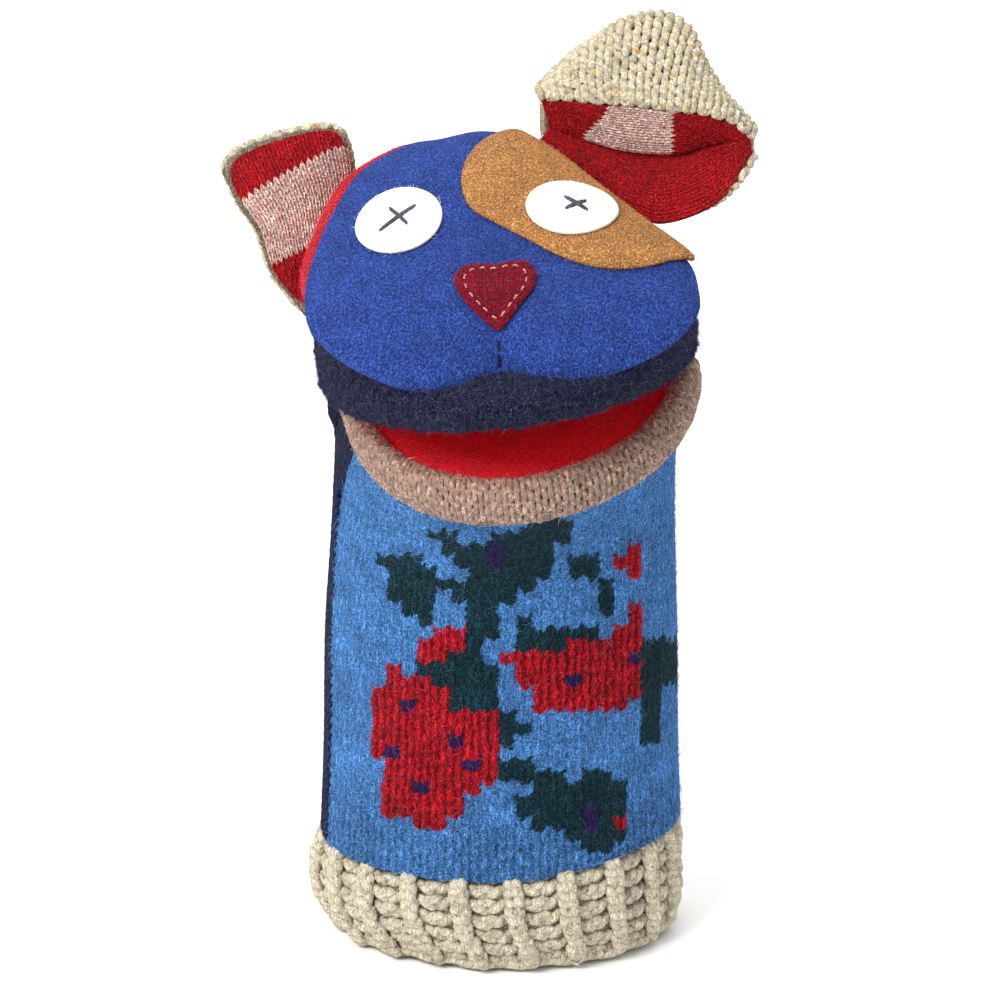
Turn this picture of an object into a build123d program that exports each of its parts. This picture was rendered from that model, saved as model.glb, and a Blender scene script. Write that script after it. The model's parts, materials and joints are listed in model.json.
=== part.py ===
from build123d import *
import math
import os

# Dog hand puppet: a knitted sleeve with a hinged upper jaw (the head), a hinged lower jaw and two ears.
#
# Millimetres. X points to the puppet's left-hand side as it faces the viewer (viewer's right), -Y is the
# front, +Z is up. The origin is the centre of the cuff's open bottom edge. The head, jaws and ears are first
# drawn upright, then leaned together about the mouth's hinge line.

# sleeve and cuff
SLEEVE_HALF_WIDTH = 55.5
SLEEVE_TOP_HALF_WIDTH = 54.0
SLEEVE_HALF_DEPTH = 42.0
KNIT = 3.0
CUFF_HEIGHT = 33.5
CUFF_HALF_WIDTH = 58.5
CUFF_HALF_DEPTH = 45.0
CUFF_WALL = 5.0
CUFF_FOOT_TURN_IN = 1.5
CUFF_TOP_TURN_IN = 2.0
SEAM_HEIGHT = 1.2
SEAM_GAP = 1.2
FRONT_TOP = 147.0
BACK_TOP = 160.0
SLEEVE_YAW = 12.6

# mouth hinge line and the head's lean about it
HINGE = Vector(3.0, 8.0, 183.0)
LEAN = -6.0
PALATE_PITCH = -8.6
CHIN_PITCH = 6.0
HINGE_GAP = 1.5

# lower jaw
JAW_HALF_WIDTH = 57.0
JAW_DEPTH = 77.0
CHIN_HEIGHT = 10.0
CHIN_WALL = 4.5
LINING = 2.0
BOARD = 2.0
LINING_DROP = 1.0
GATHER_GROW = 2.0
GATHER_RISE = 20.0

# head: horizontal ellipses as (height, centre y, half width, half depth)
HEAD_RINGS = [
    (180.0, -20.0, 58.0, 61.0),
    (196.0, -20.5, 60.0, 62.5),
    (214.0, -21.0, 60.5, 63.0),
    (232.0, -8.0, 57.0, 49.0),
    (250.0, 6.0, 44.0, 32.0),
    (262.0, 12.0, 26.0, 18.0),
    (268.0, 14.0, 8.0, 6.0),
]
HEAD_CENTRE = Vector(0, -15, 205)
HEAD_RADIUS = 60.0
LIP_BAND_HEIGHT = 19.0
SEAM_Y = 8.0
FINGER_ROOM = 27.0

# face plane: its lowest point and its slope, used to place what is sewn on the face
FACE_FOOT = Vector(0, -84, 214)
FACE_SLOPE = 31.0
FELT = 1.6
STITCH = 0.9
LAYER_AIR = 0.3
FACE_REACH = 24.0

# (across, up the face) of what is sewn on
LEFT_EYE = (-27.5, 63.5)
RIGHT_EYE = (27.5, 63.5)
EYE_RADIUS = 13.6
EYE_CROSS = 7.5
NOSE_FOOT = 20.5
NOSE_TOP = 45.0
NOSE_HALF_WIDTH = 12.5

AIR = 0.6
EAR_AIR = 4.2
EAR_WALL = 3.0
EAR_LINING = 2.2
EAR_OUTER = 2.8
EAR_SPLIT_Y = 13.0
BIG = 400.0


def ellipse_at(z, centre_y, half_width, half_depth):
    return Pos(0, centre_y, z) * Ellipse(half_width, half_depth)


def tube(z0, z1, outer0, outer1, wall):
    """Elliptical tube whose outer half sizes run from outer0 at z0 to outer1 at z1."""
    outside = loft([Pos(0, 0, z0) * Ellipse(*outer0), Pos(0, 0, z1) * Ellipse(*outer1)])
    inside = loft([
        Pos(0, 0, z0) * Ellipse(outer0[0] - wall, outer0[1] - wall),
        Pos(0, 0, z1) * Ellipse(outer1[0] - wall, outer1[1] - wall),
    ])
    return outside - inside


def half_space(place, side):
    """All that lies on one side of a plane: side +1 is along its normal."""
    return place * Pos(0, 0, side * BIG / 2) * Box(BIG, BIG, BIG)


def leaned(shape):
    """Moves an upright head or jaw shape to its leaned place."""
    return Pos(*HINGE) * Rot(0, LEAN, 0) * Pos(0, -HINGE.Y, -HINGE.Z) * shape


def palate_plane(height):
    return Pos(0, HINGE.Y, HINGE.Z) * Rot(PALATE_PITCH, 0, 0) * Pos(0, 0, HINGE_GAP + height)


def chin_plane(height):
    return Pos(0, HINGE.Y, HINGE.Z) * Rot(CHIN_PITCH, 0, 0) * Pos(0, 0, height - HINGE_GAP)


def side_split(offset, side):
    """The half space in front of (side -1) or behind (side +1) the sleeve's two side seams."""
    return Rot(0, 0, SLEEVE_YAW) * Pos(0, side * (offset + BIG / 2), 0) * Box(BIG, BIG, 2 * BIG)


def save(name, shape):
    solids = shape.solids()
    export_step(solids[0] if len(solids) == 1 else Compound(children=solids), f"parts/{name}.step")
    print(name, len(solids), round(sum(s.volume for s in solids)))


def make_sleeve():
    """Cuff, its seam, the two panels and the two side seams."""
    cuff_ring = loft([
        ellipse_at(0, 0, CUFF_HALF_WIDTH - CUFF_FOOT_TURN_IN, CUFF_HALF_DEPTH - CUFF_FOOT_TURN_IN),
        ellipse_at(CUFF_HEIGHT / 2, 0, CUFF_HALF_WIDTH, CUFF_HALF_DEPTH),
        ellipse_at(CUFF_HEIGHT, 0, CUFF_HALF_WIDTH - CUFF_TOP_TURN_IN, CUFF_HALF_DEPTH - CUFF_TOP_TURN_IN),
    ])
    inward = CUFF_WALL + CUFF_FOOT_TURN_IN
    hollow = extrude(Ellipse(CUFF_HALF_WIDTH - inward, CUFF_HALF_DEPTH - inward), CUFF_HEIGHT)
    seam_top = CUFF_HEIGHT + SEAM_HEIGHT
    widths = ((SLEEVE_HALF_WIDTH, SLEEVE_HALF_DEPTH), (SLEEVE_TOP_HALF_WIDTH, SLEEVE_HALF_DEPTH))
    seam = tube(CUFF_HEIGHT, seam_top, widths[0], widths[0], KNIT)
    sleeve = tube(seam_top, BACK_TOP, *widths, KNIT)
    low_sleeve = sleeve - Pos(0, HINGE.Y + AIR - BIG / 2, FRONT_TOP + BIG / 2) * Box(BIG, BIG, BIG)
    strip = low_sleeve & (Rot(0, 0, SLEEVE_YAW) * Box(BIG, SEAM_GAP, 2 * BIG))
    return {
        "ribbed_cuff": cuff_ring - hollow,
        "cuff_seam": seam,
        "front_panel": low_sleeve & side_split(SEAM_GAP / 2, -1),
        "back_panel": low_sleeve & side_split(SEAM_GAP / 2, 1),
        "left_side_seam": strip & (Pos(-BIG / 2, 0, 0) * Box(BIG, BIG, 2 * BIG)),
        "right_side_seam": strip & (Pos(BIG / 2, 0, 0) * Box(BIG, BIG, 2 * BIG)),
    }


def make_gathers():
    """The cloth between the stiff sleeve and the jaws, which folds as the mouth works."""
    top = (SLEEVE_TOP_HALF_WIDTH, SLEEVE_HALF_DEPTH)
    ahead = Pos(0, HINGE.Y - BIG / 2, HINGE.Z) * Box(BIG, BIG, BIG)
    behind = Pos(0, HINGE.Y + AIR + BIG / 2, HINGE.Z) * Box(BIG, BIG, BIG)
    throat = tube(FRONT_TOP, HINGE.Z, top, (JAW_HALF_WIDTH + 1, JAW_DEPTH - HINGE.Y), KNIT) & ahead
    nape_top = (SLEEVE_TOP_HALF_WIDTH + GATHER_GROW, SLEEVE_HALF_DEPTH)
    nape = tube(BACK_TOP, HINGE.Z + GATHER_RISE, top, nape_top, KNIT) & behind
    return {
        "throat_gather": throat - half_space(leaned(chin_plane(-CHIN_HEIGHT - AIR)), 1),
        "nape_gather": nape - half_space(leaned(palate_plane(-AIR)), 1),
    }


def half_oval(half_width, depth):
    """The mouth's D outline in plan, flat side on the hinge line, round side to the front."""
    keep_front = Pos(0, -BIG / 2) * Rectangle(BIG, BIG)
    return Ellipse(half_width, depth) & keep_front


def make_lower_jaw():
    """Chin band, red lining and the stiff board that the lining is sewn round."""
    top = chin_plane(0)
    outer = extrude(half_oval(JAW_HALF_WIDTH, JAW_DEPTH), -CHIN_HEIGHT)
    inner_face = half_oval(JAW_HALF_WIDTH - CHIN_WALL, JAW_DEPTH - CHIN_WALL)
    band = outer - extrude(inner_face, -CHIN_HEIGHT)
    inner = half_oval(JAW_HALF_WIDTH - CHIN_WALL - LAYER_AIR, JAW_DEPTH - CHIN_WALL - LAYER_AIR)
    lining = Pos(0, 0, -LINING_DROP) * extrude(inner, -LINING)
    board = Pos(0, 0, -LINING_DROP - LINING) * extrude(inner, -BOARD)
    clear = Pos(0, -HINGE_GAP / 2, 0)
    return {
        "chin_band": leaned(top * clear * band),
        "lower_mouth_lining": leaned(top * clear * lining),
        "lower_mouth_board": leaned(top * clear * board),
    }


def head_form(grow):
    """The head's whole rounded form, with its skin moved out by grow at the widest place."""
    swell = (HEAD_RADIUS + grow) / HEAD_RADIUS
    rings = []
    for z, centre_y, half_width, half_depth in HEAD_RINGS:
        centre = Vector(0, centre_y, z) - HEAD_CENTRE
        rings.append(Pos(*(HEAD_CENTRE + centre * swell)) * Ellipse(half_width * swell, half_depth * swell))
    return loft(rings)


def face_spot(across, up):
    """A place on the sloping face, its Z along the face's outward normal."""
    spot = Pos(*FACE_FOOT) * Rot(FACE_SLOPE, 0, 0)
    return spot * Pos(across, up, 0)


def on_face(outline, low, high):
    """A piece of felt of this outline lying on the face between two skin heights."""
    block = extrude(face_spot(0, 0) * outline, FACE_REACH, both=True)
    return (head_form(high) - head_form(low)) & block


def eye(centre):
    return Pos(*centre) * Circle(EYE_RADIUS)


def patch_outline():
    """Eye patch: a bean that wraps round the eye and runs to the head's side seam."""
    with BuildSketch() as bean:
        with BuildLine():
            Spline(
                (62, 41), (44, 43), (26, 45), (9, 52), (-5, 62), (-9, 76), (-4, 88), (6, 96),
                tangents=((-1, 0.1), (0.8, 0.6)),
            )
            Line((6, 96), (62, 96))
            Line((62, 96), (62, 41))
        make_face()
    return bean.sketch


def nose_outline():
    """Rounded triangle with its point towards the mouth."""
    mid = (NOSE_FOOT + NOSE_TOP) / 2
    with BuildSketch() as drop:
        with BuildLine():
            Spline(
                (0, NOSE_FOOT), (-8, mid - 3), (-NOSE_HALF_WIDTH, mid + 5), (-7, NOSE_TOP), (0, NOSE_TOP - 1),
                (7, NOSE_TOP), (NOSE_HALF_WIDTH, mid + 5), (8, mid - 3),
                periodic=True,
            )
        make_face()
    return drop.sketch


def stitch_row(points, low, high):
    """A dashed row of stitches through a few points, each dash a short bar on the skin."""
    path = Spline(*points)
    count = max(2, round(path.length / 4.0))
    bars = []
    for index in range(count):
        start = path @ ((index + 0.2) / count)
        end = path @ ((index + 0.75) / count)
        turn = math.degrees(math.atan2(end.Y - start.Y, end.X - start.X))
        mid = (start + end) * 0.5
        bars.append(Pos(mid.X, mid.Y) * Rot(0, 0, turn) * Rectangle((end - start).length, STITCH))
    return on_face(Sketch() + bars, low, high)


def eye_cross(centre, low):
    bars = [Pos(*centre) * Rot(0, 0, turn) * Rectangle(EYE_CROSS * 1.6, STITCH) for turn in (35, -35)]
    return on_face(Sketch() + bars, low, low + STITCH)


def make_head():
    """Face, back, lip, palate and the felt sewn on the face, all upright."""
    outer = head_form(0)
    core = head_form(-KNIT)
    room = head_form(-KNIT - LAYER_AIR)
    wall = (outer - core) & half_space(palate_plane(0), 1)
    front = Pos(0, SEAM_Y - BIG / 2, HINGE.Z) * Box(BIG, BIG, BIG)
    back = Pos(0, SEAM_Y + BIG / 2, HINGE.Z) * Box(BIG, BIG, BIG)
    above_lip = half_space(palate_plane(LIP_BAND_HEIGHT), 1)
    mouth_front = Pos(0, -BIG / 2 + HINGE.Y - HINGE_GAP / 2, HINGE.Z) * Box(BIG, BIG, BIG)
    slab = room & mouth_front
    lining = (slab & half_space(palate_plane(0), 1)) - half_space(palate_plane(LINING), 1)
    board = (slab & half_space(palate_plane(LINING), 1)) - half_space(palate_plane(LINING + BOARD), 1)
    padding = room & half_space(palate_plane(LINING + BOARD + FINGER_ROOM), 1)
    face_low = LAYER_AIR
    face_high = LAYER_AIR + FELT
    over_low = face_high + LAYER_AIR
    over_high = over_low + FELT
    patch = on_face(patch_outline(), face_low, face_high) & front
    nose = on_face(nose_outline(), face_low, face_high)
    nose_inset = [(0, 24), (-6.5, 31), (-9.5, 38), (-6, 42), (0, 41.5), (6, 42), (9.5, 38), (6.5, 31)]
    patch_edge = [(6, 93), (-2, 86), (-6.5, 76), (-3.5, 64), (1, 59)]
    return {
        "face_panel": wall & front & above_lip,
        "lip_band": (wall & front) - above_lip,
        "head_back_panel": wall & back,
        "upper_mouth_lining": lining,
        "upper_mouth_board": board,
        "forehead_padding": padding,
        "eye_patch": patch,
        "left_eye_disc": on_face(eye(LEFT_EYE), face_low, face_high),
        "right_eye_disc": on_face(eye(RIGHT_EYE), over_low, over_high),
        "left_eye_stitches": eye_cross(LEFT_EYE, over_low),
        "right_eye_stitches": eye_cross(RIGHT_EYE, over_high + LAYER_AIR),
        "nose": nose,
        "nose_stitching": stitch_row(nose_inset, over_low, over_low + STITCH),
        "patch_stitching": stitch_row(patch_edge, over_low, over_low + STITCH),
        "muzzle_stitch": stitch_row([(0, 3), (1, 11), (0, 18)], face_low, face_low + STITCH),
    }


def make_left_ear(head_keep_out):
    """A flat flap beside the head, lining to the front, outer cloth behind."""
    with BuildSketch(Plane.XZ) as flap:
        with BuildLine():
            Spline(
                (-52, 204), (-66, 214), (-76, 228), (-83, 240), (-82, 250), (-70, 257), (-54, 261),
                (-44, 258), (-38, 246), (-42, 222),
                periodic=True,
            )
        make_face()
    front = Pos(0, EAR_SPLIT_Y, 0) * extrude(flap.sketch, -EAR_LINING)
    back = Pos(0, EAR_SPLIT_Y + EAR_LINING + LAYER_AIR, 0) * extrude(flap.sketch, -EAR_OUTER)
    return {"left_ear_lining": front - head_keep_out, "left_ear_outer": back - head_keep_out}


def make_right_ear(head_keep_out):
    """A cupped ear: a striped funnel that opens from its root, with a round crown of outer cloth above it."""
    brim = Pos(46, 8, 266) * Rot(0, 8, 0)
    funnel_rings = [(-26, -10, 7, 9), (-14, -3, 20, 14), (0, 0, 31, 19)]
    crown_rings = [(0.4, 0, 31, 19), (10, 0, 24, 17), (24, 1, 16, 13), (33, 2, 8, 7)]

    def solid(rings, shrink):
        return loft([brim * Pos(cx, 0, z) * Ellipse(a - shrink, b - shrink) for z, cx, a, b in rings])

    lining = solid(funnel_rings, 0) - solid(funnel_rings, EAR_WALL)
    lining = lining - head_keep_out
    top = crown_rings[-1][0]
    crown = solid(crown_rings, 0)
    room = top - EAR_WALL
    hollow = solid(crown_rings, EAR_WALL) & (brim * Pos(0, 0, room / 2) * Box(BIG, BIG, room))
    return {"right_ear_lining": lining, "right_ear_outer": crown - hollow - head_keep_out}


def main():
    os.makedirs("parts", exist_ok=True)
    pieces = {}
    pieces.update(make_sleeve())
    pieces.update(make_gathers())
    pieces.update(make_lower_jaw())
    pieces.update({name: leaned(shape) for name, shape in make_head().items()})
    keep_out = leaned(head_form(EAR_AIR))
    pieces.update(make_left_ear(keep_out))
    pieces.update(make_right_ear(keep_out))
    for name, shape in pieces.items():
        save(name, shape)


main()
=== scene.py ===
"""Dog hand puppet in knitted and felted wool: the looks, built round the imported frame.

Every length inside the modelling code is in millimetres, in the frame's own axes: X to the viewer's right,
-Y towards the viewer, +Z up, origin at the middle of the cuff's lower edge. The head, both jaws and what is
sewn on them are drawn upright and then leaned sideways about the mouth's hinge line by leaned().
"""
import json
import math

import bpy
import numpy as np
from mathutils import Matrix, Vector

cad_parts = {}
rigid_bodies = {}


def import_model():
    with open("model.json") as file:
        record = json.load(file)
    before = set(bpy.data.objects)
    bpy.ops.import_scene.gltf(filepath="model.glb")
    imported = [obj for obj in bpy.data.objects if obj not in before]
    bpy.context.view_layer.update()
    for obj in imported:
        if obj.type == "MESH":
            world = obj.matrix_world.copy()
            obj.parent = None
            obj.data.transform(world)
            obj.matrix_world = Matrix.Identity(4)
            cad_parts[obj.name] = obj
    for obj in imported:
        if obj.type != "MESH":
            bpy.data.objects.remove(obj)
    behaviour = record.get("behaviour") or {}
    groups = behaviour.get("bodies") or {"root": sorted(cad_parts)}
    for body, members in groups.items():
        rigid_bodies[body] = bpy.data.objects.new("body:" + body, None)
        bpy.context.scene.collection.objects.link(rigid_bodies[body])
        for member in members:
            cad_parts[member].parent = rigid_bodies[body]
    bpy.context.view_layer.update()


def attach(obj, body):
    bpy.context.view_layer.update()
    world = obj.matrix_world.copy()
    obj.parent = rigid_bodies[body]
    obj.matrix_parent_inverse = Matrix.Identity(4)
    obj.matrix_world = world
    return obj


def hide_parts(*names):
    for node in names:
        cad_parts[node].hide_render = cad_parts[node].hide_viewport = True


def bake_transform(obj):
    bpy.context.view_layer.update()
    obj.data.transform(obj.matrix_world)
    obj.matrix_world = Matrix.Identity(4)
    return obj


bl_info = {
    "name": "Knitted hand puppet",
    "version": (1, 0, 0),
    "blender": (4, 5, 0),
    "location": "View3D > Sidebar > Puppet",
    "description": "Builds the cloth, yarn and felt pieces of a hand puppet round its frame",
    "category": "Add Mesh",
}

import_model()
MM = 0.001

# hinge line of the mouth and the head's sideways lean, as the frame's joints have them
HINGE = (3.0, 8.0, 183.0)
LEAN = math.radians(-6.0)
PALATE_TILT = math.tan(math.radians(8.6))
CHIN_TILT = math.tan(math.radians(6.0))
HINGE_GAP = 1.5
JAW_HALF_WIDTH = 57.0
JAW_DEPTH = 77.0
SNOUT_HALF_WIDTH = 59.0
SNOUT_DEPTH = 90.0

# face plane: its lowest point, its slope and how far its rim rolls down
FACE_FOOT = (0.0, -84.0, 214.0)
FACE_SLOPE = math.radians(31.0)
FACE_ROLL = 10.0
FACE_ROLL_POWER = 3.4
FACE_CENTRE = (2.0, 52.0)

SIDE_SEAM = math.radians(16.3)
SLEEVE_DEPTH = 42.0
NAPE_DEPTH = 34.0
STITCH_WIDE = 5.36
STITCH_TALL = 4.0

# sleeve chart, top row first: g leaf green, r crimson, p violet, anything else ground
CHART_LEFT = -51.9
CHART_TOP = 153.6
CHART = (
    "...........ggg......",
    "......g..ggggg......",
    "......gggpggg....r..",
    "...gg..ggpggg.g.rr..",
    "...ggg..ggggg.g..r..",
    "...ggggggggg...g....",
    "...ggg.gggg....g....",
    "....gg..gg.....g.r..",
    ".....g..gg.g.....r..",
    "......rrgg.gggg.rr..",
    ".....rrrg..ggrrrrrgg",
    ".....rrgg.rrrrrrrpgg",
    "...r.ggggg.rrrrrrrgg",
    "...rrrgggg.rrprrrrgg",
    "..rrrrrggg..rrrrrrg.",
    "..rrprrggg..rrrrr.g.",
    "..rrrrrrrrg.......g.",
    "..rrrrrrrrgg......g.",
    "..rrrrrprrg.......g.",
    "..rprrrrrr..........",
    "...rrrrrprgg........",
    "...rrrrrrrggg.gg....",
    "...rrprrr...ggggg...",
    "...rrrrr...gggggg...",
    "...rrrrr...gggpgg...",
    ".....rr.....ggpgr...",
    ".............gggg...",
    "..............gg....",
)


class PuppetSizes(bpy.types.PropertyGroup):
    """Sizes that set how coarse the wool looks."""

    cuff_ribs: bpy.props.IntProperty(name="Cuff ribs", description="Knit columns round the cuff", default=20)
    cuff_rows: bpy.props.IntProperty(name="Cuff rows", description="Rows of yarn up the cuff", default=7)
    fine_stitch: bpy.props.FloatProperty(
        name="Fine stitch", description="Width of a stitch in the ear and mouth linings", default=0.0026,
        unit="LENGTH")
    felt_thick: bpy.props.FloatProperty(
        name="Felt", description="Thickness of the felt that is sewn on the face", default=0.0017,
        unit="LENGTH")
    fibre_length: bpy.props.FloatProperty(
        name="Fibre", description="Length of the stray wool fibres", default=0.0030, unit="LENGTH")


def colour(name, text, value):
    return bpy.props.FloatVectorProperty(
        name=name, description=text, subtype="COLOR", size=3, min=0.0, max=1.0, default=value)


class PuppetColours(bpy.types.PropertyGroup):
    """Wool colours, in linear light."""

    ground: colour("Ground", "Mid blue of the sleeve", (0.058, 0.190, 0.46))
    leaf: colour("Leaf", "Dark teal green of the leaves", (0.001, 0.025, 0.037))
    flower: colour("Flower", "Crimson of the flowers", (0.44, 0.003, 0.014))
    speck: colour("Speck", "Violet at the flowers' hearts", (0.016, 0.008, 0.070))
    back: colour("Back", "Navy of the sleeve's back", (0.010, 0.014, 0.040))
    face: colour("Face", "Royal blue felt", (0.018, 0.047, 0.230))
    lip: colour("Lip", "Navy felt of the upper lip", (0.005, 0.009, 0.044))
    mouth: colour("Mouth", "Bright red lining", (1.0, 0.024, 0.045))
    cream: colour("Cream", "Cuff yarn", (0.55, 0.50, 0.39))
    tweed: colour("Tweed", "Ear and lip yarn", (0.49, 0.44, 0.33))
    ear_red: colour("Ear red", "Red bands of the ear lining", (0.38, 0.005, 0.010))
    ear_pink: colour("Ear pink", "Pale band of the ear lining", (0.76, 0.55, 0.48))
    patch: colour("Patch", "Tan felt round the eye", (0.36, 0.165, 0.050))
    white: colour("White", "Eye felt", (0.86, 0.86, 0.78))
    nose: colour("Nose", "Crimson felt", (0.165, 0.002, 0.013))
    violet: colour("Violet yarn", "Crossed eye stitches", (0.085, 0.075, 0.11))
    thread: colour("Thread", "Running stitch", (0.62, 0.36, 0.26))
    navy_thread: colour("Navy thread", "Line below the nose and the seams", (0.010, 0.014, 0.06))


# ---------------------------------------------------------------- small geometry


def spline(run, count):
    """Stretches of count places on the smooth curve through a run of knots, all but its two end knots."""
    step = np.linspace(0, 1, count, endpoint=False).reshape((count,) + (1,) * (run.ndim - 1))
    spans = []
    for k in range(len(run) - 3):
        a, b, c, d = run[k:k + 4]
        spans.append(0.5 * (2 * b + (c - a) * step + (2 * a - 5 * b + 4 * c - d) * step ** 2
                            + (3 * b - 3 * c + d - a) * step ** 3))
    return spans


def smooth_line(points, count, closed=False):
    """Evenly spaced places on a smooth curve through the given ones."""
    knots = np.asarray(points, float)
    if closed:
        run = np.vstack([knots[-1:], knots, knots[:2]])
    else:
        run = np.vstack([2 * knots[0] - knots[1], knots, 2 * knots[-1] - knots[-2]])
    dense = np.vstack(spline(run, 32) + [knots[:1] if closed else knots[-1:]])
    travel = np.concatenate([[0], np.cumsum(np.linalg.norm(np.diff(dense, axis=0), axis=1))])
    even = np.linspace(0, travel[-1], count, endpoint=not closed)
    return np.stack([np.interp(even, travel, dense[:, k]) for k in range(dense.shape[1])], axis=1)


NET_STEPS = 24  # places between two rows of a net, before they are evened out


def net(rows, across, down, marks=None):
    """A smooth grid of across by down places through a given net of rows.

    marks gives each row a number of its own, and the number at every one of the down places comes back too.
    """
    knots = np.stack([smooth_line(row, across) for row in rows], axis=0)
    run = np.concatenate([2 * knots[:1] - knots[1:2], knots, 2 * knots[-1:] - knots[-2:-1]])
    dense = np.concatenate(spline(run, NET_STEPS) + [knots[-1:]])
    travel = np.linalg.norm(np.diff(dense, axis=0), axis=2).mean(axis=1)
    travel = np.concatenate([[0], np.cumsum(travel)])
    place = np.interp(np.linspace(0, travel[-1], down), travel, np.arange(len(dense)))
    low = np.minimum(place.astype(int), len(dense) - 2)
    part = (place - low)[:, None, None]
    grid = (dense[low] * (1 - part) + dense[low + 1] * part).transpose(1, 0, 2)
    if marks is None:
        return grid
    return grid, np.interp(place, np.arange(len(rows)) * NET_STEPS, marks)


def smoothstep(low, high, value):
    t = np.clip((value - low) / (high - low), 0, 1)
    return t * t * (3 - 2 * t)


def ripple(points, length, seed):
    """Soft uneven waves of about this wavelength, between -1 and 1, the same every time."""
    rng = np.random.default_rng(seed)
    total = np.zeros(points.shape[:-1])
    for _ in range(7):
        way = rng.normal(size=3)
        way *= 2 * math.pi / length / np.linalg.norm(way) * rng.uniform(0.7, 1.5)
        total += np.sin(points @ way + rng.uniform(0, 2 * math.pi))
    return total / 4.0


def normals_of(grid, wrap=False):
    """Unit normals of a grid of places, along its first way crossed with its second."""
    if wrap:
        along = np.roll(grid, -1, axis=0) - np.roll(grid, 1, axis=0)
    else:
        along = np.gradient(grid, axis=0)
    down = np.gradient(grid, axis=1)
    flat = np.cross(along, down)
    size = np.linalg.norm(flat, axis=2, keepdims=True)
    unit = flat / np.maximum(size, 1e-9)
    middle = unit[:, unit.shape[1] // 2:unit.shape[1] // 2 + 1]
    return np.where(size > 1e-7, unit, middle)


def leaned(points):
    """Moves upright head or jaw places to where the leaned head has them."""
    points = np.asarray(points, float)
    x = points[..., 0]
    z = points[..., 2] - HINGE[2]
    return np.stack([
        HINGE[0] + x * math.cos(LEAN) + z * math.sin(LEAN),
        points[..., 1],
        HINGE[2] - x * math.sin(LEAN) + z * math.cos(LEAN),
    ], axis=-1)


VIEW_TILT = math.radians(22.0)


def from_view(points):
    """Places given as (across, up, towards the viewer), seen from the usual viewing tilt."""
    points = np.asarray(points, float)
    up = points[..., 1]
    near = points[..., 2]
    return np.stack([
        points[..., 0],
        up * math.sin(VIEW_TILT) - near * math.cos(VIEW_TILT),
        up * math.cos(VIEW_TILT) + near * math.sin(VIEW_TILT),
    ], axis=-1)


# ---------------------------------------------------------------- meshes


def new_piece(name, places, faces, material, body, replaces=(), tint=None, uvs=None, stitches=None):
    """Makes one mesh piece from millimetre places and hangs it on its body."""
    mesh = bpy.data.meshes.new(name)
    places = np.array(places, float)
    places[:, 2] = np.maximum(places[:, 2], 0.0)
    mesh.from_pydata((places * MM).tolist(), [], faces)
    mesh.polygons.foreach_set("use_smooth", np.ones(len(mesh.polygons), dtype=bool))
    if tint is not None:
        layer = mesh.color_attributes.new("wool", "FLOAT_COLOR", "POINT")
        layer.data.foreach_set("color", np.concatenate([tint, np.ones((len(tint), 1))], axis=1).ravel())
    if uvs is not None:
        layer = mesh.uv_layers.new(name="strand")
        layer.data.foreach_set("uv", np.asarray(uvs, float).ravel())
    if stitches is not None:
        layer = mesh.attributes.new("stitches", "FLOAT_VECTOR", "POINT")
        table = np.concatenate([stitches, np.zeros((len(stitches), 1))], axis=1)
        layer.data.foreach_set("vector", table.astype(np.float32).ravel())
    mesh.materials.append(material)
    mesh.update()
    piece = bpy.data.objects.new(name, mesh)
    bpy.context.scene.collection.objects.link(piece)
    if body:
        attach(piece, body)
    if replaces:
        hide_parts(*replaces)
    return piece


def quads_of(indices, wrap=False, flip=False):
    """Quads over a grid of point numbers, wound so that they face along first way crossed with second."""
    if wrap:
        indices = np.concatenate([indices, indices[:1]], axis=0)
    corners = [indices[:-1, :-1], indices[1:, :-1], indices[1:, 1:], indices[:-1, 1:]]
    if flip:
        corners.reverse()
    return np.stack([c.ravel() for c in corners], axis=1).tolist()


def rim_of(fine, coarse, step):
    """Faces that close the gap between a fine edge and the coarse edge behind it."""
    faces = []
    for k in range(len(coarse) - 1):
        run = fine[k * step:(k + 1) * step + 1]
        faces.append([int(i) for i in run] + [int(coarse[k + 1]), int(coarse[k])])
    return faces


def shell(grid, relief, thick, step, wrap=False):
    """A closed sheet of cloth: a fine front with its relief, a plain coarse back, and rims between them."""
    normals = normals_of(grid, wrap)
    front = grid + normals * relief[..., None]
    back = (grid - normals * thick)[::step, ::step]
    fine = np.arange(front.shape[0] * front.shape[1]).reshape(front.shape[:2])
    coarse = len(fine.ravel()) + np.arange(back.shape[0] * back.shape[1]).reshape(back.shape[:2])
    faces = quads_of(fine, wrap) + quads_of(coarse, wrap, flip=True)
    low, high = fine[:, 0], fine[:, -1]
    low_back, high_back = coarse[:, 0], coarse[:, -1]
    if wrap:
        low, high = np.append(low, low[0]), np.append(high, high[0])
        low_back, high_back = np.append(low_back, low_back[0]), np.append(high_back, high_back[0])
    else:
        faces += rim_of(fine[0], coarse[0], step)
        faces += [face[::-1] for face in rim_of(fine[-1], coarse[-1], step)]
    faces += rim_of(high, high_back, step)
    faces += [face[::-1] for face in rim_of(low, low_back, step)]
    return np.concatenate([front.reshape(-1, 3), back.reshape(-1, 3)]), faces


def both_sides(table, step):
    """Values for a shell's vertices: those of its front and then of its coarse back."""
    wide = table.shape[-1]
    return np.concatenate([table.reshape(-1, wide), table[::step, ::step].reshape(-1, wide)])


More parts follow.
